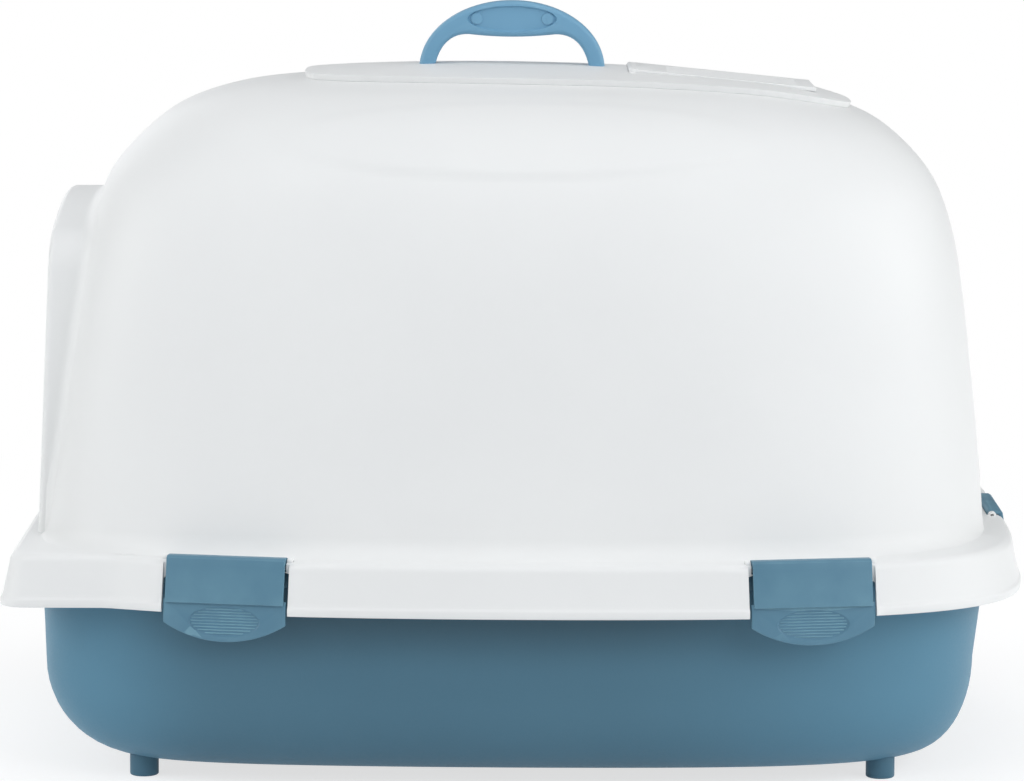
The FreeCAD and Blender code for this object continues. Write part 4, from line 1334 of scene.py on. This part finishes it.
# ---- the roof's parts ----
@dataclass
class Roof:
    """The raised roof panel, the vented filter cover and what lies under it."""

    hood: Hood
    front_x: float = -140.0
    rear_x: float = 213.0
    half: float = 74.0
    power: float = 3.6
    thick: float = 3.8
    filter_x: float = 132.0
    slope: float = 5.6
    cover: tuple[float, float] = (116.0, 76.0)
    cover_thick: float = 2.6
    basket: tuple[float, float] = (106.0, 66.0)
    gap: float = 0.4
    slots: int = 6
    slot_pitch: float = 10.5
    slot_size: tuple[float, float] = (86.0, 3.6)
    slot_shift: float = 4.6
    barrel: float = 2.6
    pins: tuple[float, float] = (1.4, 5.0)
    pad_z: Station = (-12.7, -4.7)
    pad_inset: float = 3.7

    def place(self) -> Matrix:
        """The filter's place on the sloping roof."""
        line = [level.front for level in self.hood.shape.levels]
        line += [level.rear for level in reversed(self.hood.shape.levels)]
        z = next(z0 + (z1 - z0) * (self.filter_x - x0) / (x1 - x0)
                 for (x0, z0), (x1, z1) in zip(line, line[1:]) if x0 <= self.filter_x <= x1)
        turn = Matrix.Rotation(math.radians(self.slope), 4, "Y")
        return Matrix.Translation(Vector((self.filter_x, 0, z)) * MM) @ turn

    def _block(self, name: str, size: Sequence[float], z0: float, z1: float) -> bpy.types.Object:
        """A box in the filter's place."""
        piece = cube(name, (-0.5 * size[0], -0.5 * size[1], z0), (0.5 * size[0], 0.5 * size[1], z1))
        piece.data.transform(self.place())
        return piece

    def hole(self) -> bpy.types.Object:
        """What the filter needs cut out of the hood."""
        return self._block("filter_hole", [side + 2 * self.gap for side in self.basket], -20.0, 20.0)

    def _panel(self, bare: bpy.types.Object) -> bpy.types.Object:
        """The raised panel, laid on the dome; its opening for the cover is cut in build."""
        rings = []
        middle_x = 0.5 * (self.front_x + self.rear_x)
        top_z = 460.0
        fan = None
        for share in (0.04, 0.12, 0.2, 0.3, 0.4, 0.5, 0.6, 0.7, 0.8, 0.88, 0.94, 0.975, 1.0):
            shape = BowedOutline((middle_x + (self.front_x - middle_x) * share, top_z),
                                 (middle_x + (self.rear_x - middle_x) * share, top_z), self.half * share,
                                 self.power, self.power, 0.0)
            points = shape.half_points()
            fan = fan or RayFan([points], 128, middle_x)
            rings.append(fan.ring(points))
        skin = RingSkin("roof_panel_plate", rings[0]).grow(rings[1:])
        skin.select_open_edge()
        mesh = bmesh.from_edit_mesh(skin.piece.data)
        room = 0.05 * self.half
        for vertex in mesh.verts:
            near = abs(vertex.co.x - middle_x * MM) < room * 2.5 * MM and abs(vertex.co.y) < room * MM
            if vertex.select and not near:
                vertex.select = False
        mesh.select_flush_mode()
        bmesh.update_edit_mesh(skin.piece.data)
        bpy.ops.mesh.edge_face_add()
        plate = skin.finish()
        apply_modifier(plate, "SHRINKWRAP", target=bare, wrap_method="PROJECT", use_project_z=True,
                       use_project_x=False, use_project_y=False, use_negative_direction=True,
                       use_positive_direction=False)
        mesh_up = sum(face.normal.z for face in plate.data.polygons) > 0
        plate.data.transform(Matrix.Translation(Vector((0, 0, 0.1 * MM))))
        apply_modifier(plate, "SOLIDIFY", thickness=self.thick * MM, offset=1.0 if mesh_up else -1.0)
        return plate

    def _hinge_block(self, extra: float) -> bpy.types.Object:
        """Room for the cover's barrel."""
        half = 0.5 * self.cover[1] + extra
        axis_x = -0.5 * self.cover[0] - self.barrel
        piece = cube("barrel_room", (axis_x - self.barrel - extra, -half, -2.0),
                     (-0.5 * self.cover[0] + 1.0, half, 12.0))
        piece.data.transform(self.place())
        return piece

    def _vented_cover(self) -> bpy.types.Object:
        """The vented cover with its hinge barrel."""
        top, low = self.thick, self.thick - self.cover_thick
        length, width = self.cover
        plate = cube("filter_cover_plate", (-0.5 * length, -0.5 * width, low),
                     (0.5 * length, 0.5 * width, top))
        tools = []
        for i in range(self.slots):
            y = (i - 0.5 * (self.slots - 1)) * self.slot_pitch
            half_x, half_y = 0.5 * self.slot_size[0], 0.5 * self.slot_size[1]
            ends = [(half_x - half_y, -90.0), (half_y - half_x, 90.0)]
            turns = [(x, math.radians(start + 180.0 * k / 8)) for x, start in ends for k in range(9)]
            profile = [Vector((self.slot_shift + x + half_y * math.cos(turn), y + half_y * math.sin(turn),
                               low - 1.0)) for x, turn in turns]
            tools.append(pushed_profile(f"slot_{i}", profile, Vector((0, 0, self.cover_thick + 2.0))))
        carve(plate, join(tools, "slots"))
        soften_edges(plate, 0.45, 3)
        axis_x, axis_z = -0.5 * length - self.barrel, top - self.barrel
        half = 0.5 * width
        barrel = round_bar("cover_barrel", self.barrel, (axis_x, -half, axis_z), (axis_x, half, axis_z), 32)
        soften_edges(barrel, 0.4, 2)
        web = cube("cover_web", (axis_x, -half + 0.3, low), (-0.5 * length + 1.0, half - 0.3, top - 0.02))
        radius, reach = self.pins
        pins = round_bar("cover_pins", radius, (axis_x, -half - reach, axis_z),
                         (axis_x, half + reach, axis_z), 24)
        cover = join([plate, barrel, web, pins], "filter_cover_plate")
        cover.data.transform(self.place())
        shade(cover)
        return cover

    def build(self, frame: dict, finishes: Finishes, bare: bpy.types.Object) -> None:
        """Model the panel and the cover, and dress the basket and the pad.

        Args:
            frame: the loaded frame.
            finishes: the box's finishes.
            bare: the hood before its holes were cut.
        """
        panel = self._panel(bare)
        bpy.data.objects.remove(bare)
        carve(panel, self._block("cover_room", [side + 2 * self.gap for side in self.cover], -20.0, 20.0))
        carve(panel, self._hinge_block(self.gap))
        soften_edges(panel, 0.9, 4, 45.0)
        shade(panel)
        seat(panel, "hood_body", Slot.HOOD, finishes, "roof_panel")
        seat(self._vented_cover(), "cover_body", Slot.HOOD, finishes, "filter_cover")
        finishes.dress_node(frame, "filter_basket", Slot.BASKET)
        self._pad(finishes)

    def _pad(self, finishes: Finishes) -> None:
        """The charcoal pad, a soft slab with rounded edges."""
        low, high = self.pad_z
        half_x, half_y = (0.5 * side - self.pad_inset for side in self.basket)
        pad = cube("charcoal_slab", (-half_x, -half_y, low), (half_x, half_y, high))
        soften_edges(pad, 1.2, 4)
        pad.data.transform(self.place())
        shade(pad)
        seat(pad, "hood_body", Slot.CHARCOAL, finishes, "charcoal_filter")


# ---- the handle ----
@dataclass
class Handle:
    """The arched carrying handle, with an oval thumb recess on each face."""

    middle_x: float = -6.0
    half_span: float = 60.3
    leg: float = 9.9
    thick: float = 17.0
    base_z: float = 437.6
    top_z: float = 481.7
    under_z: float = 460.0
    sag: float = 1.6
    sag_half: float = 28.0
    edge: float = 3.0
    oval: tuple[float, float] = (29.0, 8.4)
    oval_depth: float = 1.6
    disc: tuple[float, float] = (3.8, 23.0)

    def _profile(self) -> list[Vector]:
        """The arch's outline from the left leg over the top and back under the grip."""
        y = -0.5 * self.thick
        root = self.base_z - 4.0
        points = [Vector((self.middle_x - self.half_span, y, root))]
        for i in range(49):
            turn = math.pi * (1.0 - i / 48)
            points.append(Vector((self.middle_x + self.half_span * math.cos(turn), y,
                                  self.base_z + (self.top_z - self.base_z) * math.sin(turn))))
        points.append(Vector((self.middle_x + self.half_span, y, root)))
        inner = self.half_span - self.leg
        height = self.under_z - self.base_z
        under = [Vector((inner, y, root))]
        poles = (Vector((inner, y, self.base_z)), Vector((inner - 3.0, y, self.base_z + 0.75 * height)),
                 Vector((inner - 12.0, y, self.base_z + 1.02 * height)),
                 Vector((self.sag_half, y, self.under_z)))
        under += cubic(poles, 12)
        for i in range(1, 8):
            x = self.sag_half * (1.0 - i / 8)
            under.append(Vector((x, y, self.under_z - self.sag * (1.0 - (x / self.sag_half) ** 2))))
        middle = Vector((self.middle_x, y, self.under_z - self.sag))
        right = [Vector((self.middle_x + p.x, p.y, p.z)) for p in under]
        left = [Vector((self.middle_x - p.x, p.y, p.z)) for p in reversed(under)]
        return points + right + [middle] + left

    def _oval(self, side: int) -> bpy.types.Object:
        """The cutter of one thumb recess, with sloping walls."""
        centre_z = 0.5 * (self.under_z - self.sag + self.top_z)
        face = side * 0.5 * self.thick
        rings = []
        for depth, grow in ((self.oval_depth, -0.9), (self.oval_depth - 0.5, -0.3), (0.0, 0.1), (-2.0, 0.4)):
            rings.append(oval_ring((self.middle_x, centre_z), (self.oval[0] + grow, self.oval[1] + grow),
                                   lambda z, y=face - side * depth: y))
        return RingSkin("oval", rings[0]).grow(rings[1:]).close()

    def build(self, finishes: Finishes) -> None:
        """Model the handle and its tangs."""
        arch = pushed_profile("carry_handle", self._profile(), Vector((0, self.thick, 0)))
        soften_edges(arch, self.edge, 5, 50.0)
        parts = [arch]
        centre_z = 0.5 * (self.under_z - self.sag + self.top_z)
        for side in (-1, 1):
            carve(arch, self._oval(side))
            face = side * 0.5 * self.thick
            for end in (-1, 1):
                x = self.middle_x + end * self.disc[1]
                dot = round_bar("dot", self.disc[0], (x, face - side * (self.oval_depth + 0.4), centre_z),
                                (x, face - side * (self.oval_depth - 0.9), centre_z), 32)
                soften_edges(dot, 0.35, 3)
                parts.append(dot)
        for side in (-1, 1):
            x = self.middle_x + side * (self.half_span - 0.5 * self.leg)
            half = 0.5 * self.leg - 0.1
            tang = cube("tang", (x - half, -5.4, self.base_z - 11.0), (x + half, 5.4, self.base_z + 3.0))
            soften_edges(tang, 0.5, 2)
            parts.append(tang)
            for turn in (-1, 1):
                under = self.base_z - 5.0
                profile = [Vector((x - half, turn * 5.2, under)), Vector((x - half, turn * 7.4, under)),
                           Vector((x - half, turn * 5.2, under - 4.0))]
                parts.append(pushed_profile("barb", profile, Vector((2 * half, 0, 0))))
        handle = join(parts, "carry_handle")
        shade(handle)
        seat(handle, "hood_body", Slot.HANDLE, finishes, "handle")


# ---- the clips ----
@dataclass
class Clip:
    """A snap clip: hinge barrel, plate over the flange, face, thumb tab and hook."""

    width: float = 76.8
    plate_width: float = 74.4
    thick: float = 2.4
    top_z: float = 152.6
    fold_z: float = 124.5
    fold_step: float = 2.0
    corner_z: float = 112.0
    low_z: float = 101.0
    bend_z: float = 147.0
    proud: float = 0.4
    axis_inset: float = 13.4
    barrel: float = 2.7
    kick: float = 2.2
    oval: tuple[float, float] = (22.5, 9.2)
    oval_depth: float = 0.9
    ribs: int = 9
    hook_half: float = 22.0

    def _skirt(self, z: float) -> float:
        """Inset of the skirt's face at a height."""
        return 1.2 + 4.3 * (z - 124.0) / 21.0

    def _tab_y(self, z: float) -> float:
        """Outer face of the tab at a height."""
        return -self._skirt(self.fold_z) + self.proud - self.fold_step + self.kick * (self.fold_z - z) / 23.5

    def _plate(self) -> bpy.types.Object:
        """The plate and the face, from the barrel to the fold."""
        top_y = -self._skirt(self.bend_z) + self.proud
        low_y = -self._skirt(self.fold_z) + self.proud
        nose = top_y - 1.2
        under = self.top_z - self.thick
        half = 0.5 * self.plate_width
        profile = [(-self.axis_inset, self.top_z), (nose - 1.4, self.top_z), (nose + 0.5, self.top_z - 1.2),
                   (top_y, self.bend_z), (low_y, self.fold_z), (low_y - self.thick, self.fold_z),
                   (top_y - self.thick, self.bend_z), (top_y - self.thick - 1.2, under),
                   (-self.axis_inset, under)]
        points = [Vector((-half, y, z)) for y, z in profile]
        return pushed_profile("clip_plate", points, Vector((2 * half, 0, 0)))

    def _tab(self) -> bpy.types.Object:
        """The thumb tab, arched below, with its ribbed oval."""
        half, steps = 0.5 * self.width, 24
        rise = self.corner_z - self.low_z
        radius = (half * half + rise * rise) / (2.0 * rise)
        edge = [(half, self.fold_z + 2.0), (-half, self.fold_z + 2.0), (-half, self.fold_z - 0.1)]
        for i in range(steps + 1):
            x = -half + 2.0 * half * i / steps
            edge.append((x, self.low_z + radius - math.sqrt(radius * radius - x * x)))
        edge.append((half, self.fold_z - 0.1))
        front = [Vector((x, self._tab_y(min(z, self.fold_z)), z)) for x, z in edge]
        tab = pushed_profile("clip_tab", front, Vector((0, -self.thick, 0)))
        soften_edges(tab, 0.45, 3, 50.0)
        centre_z = 0.5 * (self.fold_z + self.low_z) + 0.8
        rings = []
        deep = self.oval_depth
        for depth, grow in ((deep, -1.0), (deep - 0.2, -0.6), (0.1, 0.1), (0.0, 0.3), (-1.5, 0.4)):
            rings.append(oval_ring((0.0, centre_z), (self.oval[0] + grow, self.oval[1] + grow),
                                   lambda z, depth=depth: self._tab_y(z) - depth))
        carve(tab, RingSkin("thumb_oval", rings[0]).grow(rings[1:]).close())
        return tab

    def _rib_bars(self) -> list[bpy.types.Object]:
        """The ribs across the oval, each as long as the oval is there."""
        centre_z = 0.5 * (self.fold_z + self.low_z) + 0.8
        pitch = 2.0 * self.oval[1] / (self.ribs + 1)
        bars = []
        for i in range(self.ribs):
            z = centre_z - self.oval[1] + (i + 1) * pitch
            half = self.oval[0] * math.sqrt(max(0.0, 1.0 - ((z - centre_z) / self.oval[1]) ** 2)) - 1.3
            y = self._tab_y(z) - self.oval_depth - 0.2
            bar = round_bar("rib", 0.5, (-half, y, z), (half, y, z), 12)
            soften_edges(bar, 0.2, 2)
            bars.append(bar)
        return bars

    def _hook(self) -> bpy.types.Object:
        """The hook under the tray's rim."""
        radius = math.hypot(2.2, 15.9) + 0.45
        axis_z = self.top_z - self.barrel
        outer, inner = radius + 2.6, radius
        reach = 13.0
        start = math.acos(min(1.0, (self.axis_inset - reach) / outer))
        face_y = -self._skirt(axis_z - radius) + self.proud - 0.5 * self.thick
        end = math.acos(min(1.0, (self.axis_inset + face_y) / outer))
        arcs = []
        for r, turns in ((outer, [start + (end - start) * i / 10 for i in range(11)]),
                         (inner, [end + (start - end) * i / 10 for i in range(11)])):
            arcs += [Vector((-self.hook_half, -self.axis_inset + r * math.cos(t), axis_z - r * math.sin(t)))
                     for t in turns]
        hook = pushed_profile("clip_hook", arcs, Vector((2 * self.hook_half, 0, 0)))
        soften_edges(hook, 0.3, 2)
        return hook

    def build(self, finishes: Finishes, places: dict[str, Matrix]) -> None:
        """Model one clip and set a copy of it at every place.

        Args:
            finishes: the box's finishes.
            places: where the clips sit.
        """
        plate = self._plate()
        soften_edges(plate, 0.4, 3, 25.0)
        axis_z = self.top_z - self.barrel
        half = 0.5 * self.plate_width
        barrel = round_bar("clip_barrel", self.barrel, (-half, -self.axis_inset, axis_z),
                           (half, -self.axis_inset, axis_z), 32)
        soften_edges(barrel, 0.3, 2)
        clip = join([plate, self._tab(), barrel, self._hook(), *self._rib_bars()], "clip_pattern")
        shade(clip)
        for name, place in places.items():
            seat(placed_copy(clip, f"snap_{name}", place), f"{name}_body", Slot.CLIP, finishes, name)
        bpy.data.objects.remove(clip)


# ---- the flap ----
@dataclass
class Flap:
    """The swing flap with its raised border and hinge barrel."""

    hood: Hood
    axis: Station = (-290.0, 325.0)
    thick: float = 2.4
    margin: float = 3.0
    border: float = 5.0
    bead: float = 1.2
    barrel: float = 3.2

    def build(self, finishes: Finishes) -> None:
        """Model the flap."""
        x0 = self.axis[0] - 0.5 * self.thick
        outer = self.hood.door_outline(self.margin, x0)
        outer = [Vector((p.x, p.y, min(p.z, self.axis[1]))) for p in outer]
        kept = [p for i, p in enumerate(outer) if (p - outer[i - 1]).length > 0.05]
        sheet = pushed_profile("flap_sheet", kept, Vector((self.thick, 0, 0)))
        soften_edges(sheet, 0.5, 3)
        border = [Vector((x0 - self.bead, p.y, min(p.z, self.axis[1] - 2.0))) for p in kept]
        frame_bead = pushed_profile("flap_border", border, Vector((self.thick + 2 * self.bead, 0, 0)))
        inner = self.hood.door_outline(self.margin + self.border, x0 - 5.0)
        carve(frame_bead, pushed_profile("flap_field", inner, Vector((self.thick + 10.0, 0, 0))))
        soften_edges(frame_bead, 0.5, 3)
        half = self.hood.door_half - self.margin
        barrel = round_bar("flap_barrel", self.barrel, (self.axis[0], -half, self.axis[1]),
                           (self.axis[0], half, self.axis[1]), 32)
        soften_edges(barrel, 0.4, 2)
        flap = join([sheet, frame_bead, barrel], "swing_flap")
        shade(flap)
        seat(flap, "flap_body", Slot.FLAP, finishes, "entry_flap")


# ---- stage ----
@dataclass
class Studio:
    """A pale floor, soft lamps and the camera."""

    camera_place: tuple[float, float, float] = (-0.00525, -3.0159, 0.6307)
    target: tuple[float, float, float] = (-0.00525, 0.0, 0.2256)
    lens: float = 162.6
    roll: float = 0.2
    floor_colour: Colour = (0.93, 0.935, 0.94)
    floor_fade: Station = (0.45, 1.3)
    floor_glow: Station = (0.70, 1.0)
    floor_near: float = 0.38

    def camera(self) -> None:
        """Set up the camera."""
        data = bpy.data.cameras.new("StudioCamera")
        data.lens, data.sensor_width, data.clip_end = self.lens, 36.0, 60.0
        holder = bpy.data.objects.new("StudioCamera", data)
        bpy.context.scene.collection.objects.link(holder)
        place, target = Vector(self.camera_place), Vector(self.target)
        turn = (target - place).to_track_quat("-Z", "Y").to_matrix().to_4x4()
        roll = Matrix.Rotation(math.radians(self.roll), 4, "Z")
        holder.matrix_world = Matrix.Translation(place) @ turn @ roll
        bpy.context.scene.camera = holder

    def floor(self) -> None:
        """Lay the floor; the camera and reflections see it lighter, so that it ends in white."""
        deselect_all()
        bpy.ops.mesh.primitive_plane_add(size=60.0, location=(0, 0, 0))
        plane = named("studio_floor")
        material, bench, shader = new_material("StudioFloor")
        light = bench.add("ShaderNodeLightPath")
        seen = bench.add("ShaderNodeMath", {0: light.outputs["Is Camera Ray"],
                                            1: light.outputs["Is Glossy Ray"]}, operation="MAXIMUM")
        seen = bench.add("ShaderNodeMath", {0: seen.outputs[0], 1: light.outputs["Is Transmission Ray"]},
                         operation="MAXIMUM")
        place = bench.add("ShaderNodeTexCoord").outputs["Object"]
        away = bench.add("ShaderNodeVectorMath", {0: place}, operation="LENGTH")
        start, end = self.floor_fade
        far = bench.add("ShaderNodeMapRange", {"Value": away.outputs["Value"], "From Min": start,
                                               "From Max": end}, interpolation_type="SMOOTHSTEP")
        glow = bench.add("ShaderNodeMapRange", {"Value": far.outputs[0], "To Min": self.floor_glow[0],
                                                "To Max": self.floor_glow[1]})
        lift = bench.add("ShaderNodeMath", {0: seen.outputs[0], 1: glow.outputs[0]}, operation="MULTIPLY")
        near = bench.add("ShaderNodeMix", {0: far.outputs[0], 6: (*[self.floor_near] * 3, 1.0),
                                           7: (0.0, 0.0, 0.0, 1.0)}, data_type="RGBA")
        tone = bench.add("ShaderNodeMix", {0: light.outputs["Is Camera Ray"], 6: (*self.floor_colour, 1.0),
                                           7: near.outputs[2]}, data_type="RGBA")
        bench.feed(shader, {"Base Color": tone.outputs[2], "Roughness": 0.9, "Specular IOR Level": 0.0,
                            "Emission Strength": lift.outputs[0], "Emission Color": (1.0, 1.0, 1.0, 1.0)})
        plane.data.materials.append(material)

    def _lamp(self, name: str, place: Reach, size: float, power: float, colour: Colour,
              look: Reach = (0.0, 0.0, 0.22)) -> None:
        """Add one square area lamp that looks at the box."""
        data = bpy.data.lights.new(name, "AREA")
        data.shape, data.size, data.energy, data.color = "SQUARE", size, power, colour
        lamp = bpy.data.objects.new(name, data)
        bpy.context.scene.collection.objects.link(lamp)
        where = Vector(place)
        turn = (Vector(look) - where).to_track_quat("-Z", "Y").to_matrix().to_4x4()
        lamp.matrix_world = Matrix.Translation(where) @ turn

    def light(self) -> None:
        """Set up the world and the lamps."""
        world = bpy.data.worlds.new("StudioWorld")
        bpy.context.scene.world = world
        world.use_nodes = True
        bench = NodeBench(world.node_tree)
        back = world.node_tree.nodes["Background"]
        back.inputs["Color"].default_value = (0.97, 0.985, 1.0, 1.0)
        back.inputs["Strength"].default_value = 0.24
        backdrop = bench.add("ShaderNodeBackground", {"Strength": 1.0})
        backdrop.inputs["Color"].default_value = (1.0, 1.0, 1.0, 1.0)
        seen = bench.add("ShaderNodeLightPath").outputs["Is Camera Ray"]
        mix = bench.add("ShaderNodeMixShader", {0: seen, 1: back.outputs[0], 2: backdrop.outputs[0]})
        bench.tree.links.new(mix.outputs[0], world.node_tree.nodes["World Output"].inputs["Surface"])
        cool, warm = (0.965, 0.975, 1.0), (1.0, 0.996, 0.98)
        self._lamp("TopSoftbox", (0.0, 0.0, 2.4), 2.4, 11.5, cool)
        self._lamp("FrontTopSoftbox", (0.0, -1.4, 2.4), 2.0, 12.5, cool)
        self._lamp("LeftSoftbox", (-2.6, -0.6, 1.3), 1.6, 26.0, warm)
        self._lamp("RightSoftbox", (2.6, -0.6, 1.3), 1.6, 28.0, warm)
        self._lamp("LeftFill", (-1.8, -2.4, 1.6), 1.6, 10.0, cool)
        self._lamp("RightFill", (1.8, -2.4, 1.6), 1.6, 23.0, cool)
        self._lamp("BackFill", (-1.4, 2.4, 1.2), 1.6, 14.0, cool)

    def build(self) -> None:
        """Set up the whole studio."""
        self.floor()
        self.light()
        view = bpy.context.scene.view_settings
        view.view_transform = "Standard"


def main() -> None:
    """Build the box's sub-assemblies in order, then the studio."""
    logging.basicConfig(level=logging.INFO, format="%(name)s: %(message)s")
    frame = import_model()
    studio = Studio()
    studio.camera()
    finishes = Finishes()
    rim = RimOutline()
    places = clip_places(rim)
    Tray(rim).build(finishes)
    hood = Hood(rim, HoodShape())
    roof = Roof(hood)
    bare = hood.build(finishes, places, roof)
    roof.build(frame, finishes, bare)
    Handle().build(finishes)
    Clip().build(finishes, places)
    Flap(hood).build(finishes)
    for name in places:
        finishes.dress_node(frame, name.replace("clip", "clip_pin"), Slot.PIN)
    finishes.dress_node(frame, "flap_rod", Slot.PIN)
    studio.build()
    deselect_all()


if __name__ == "__main__":
    main()
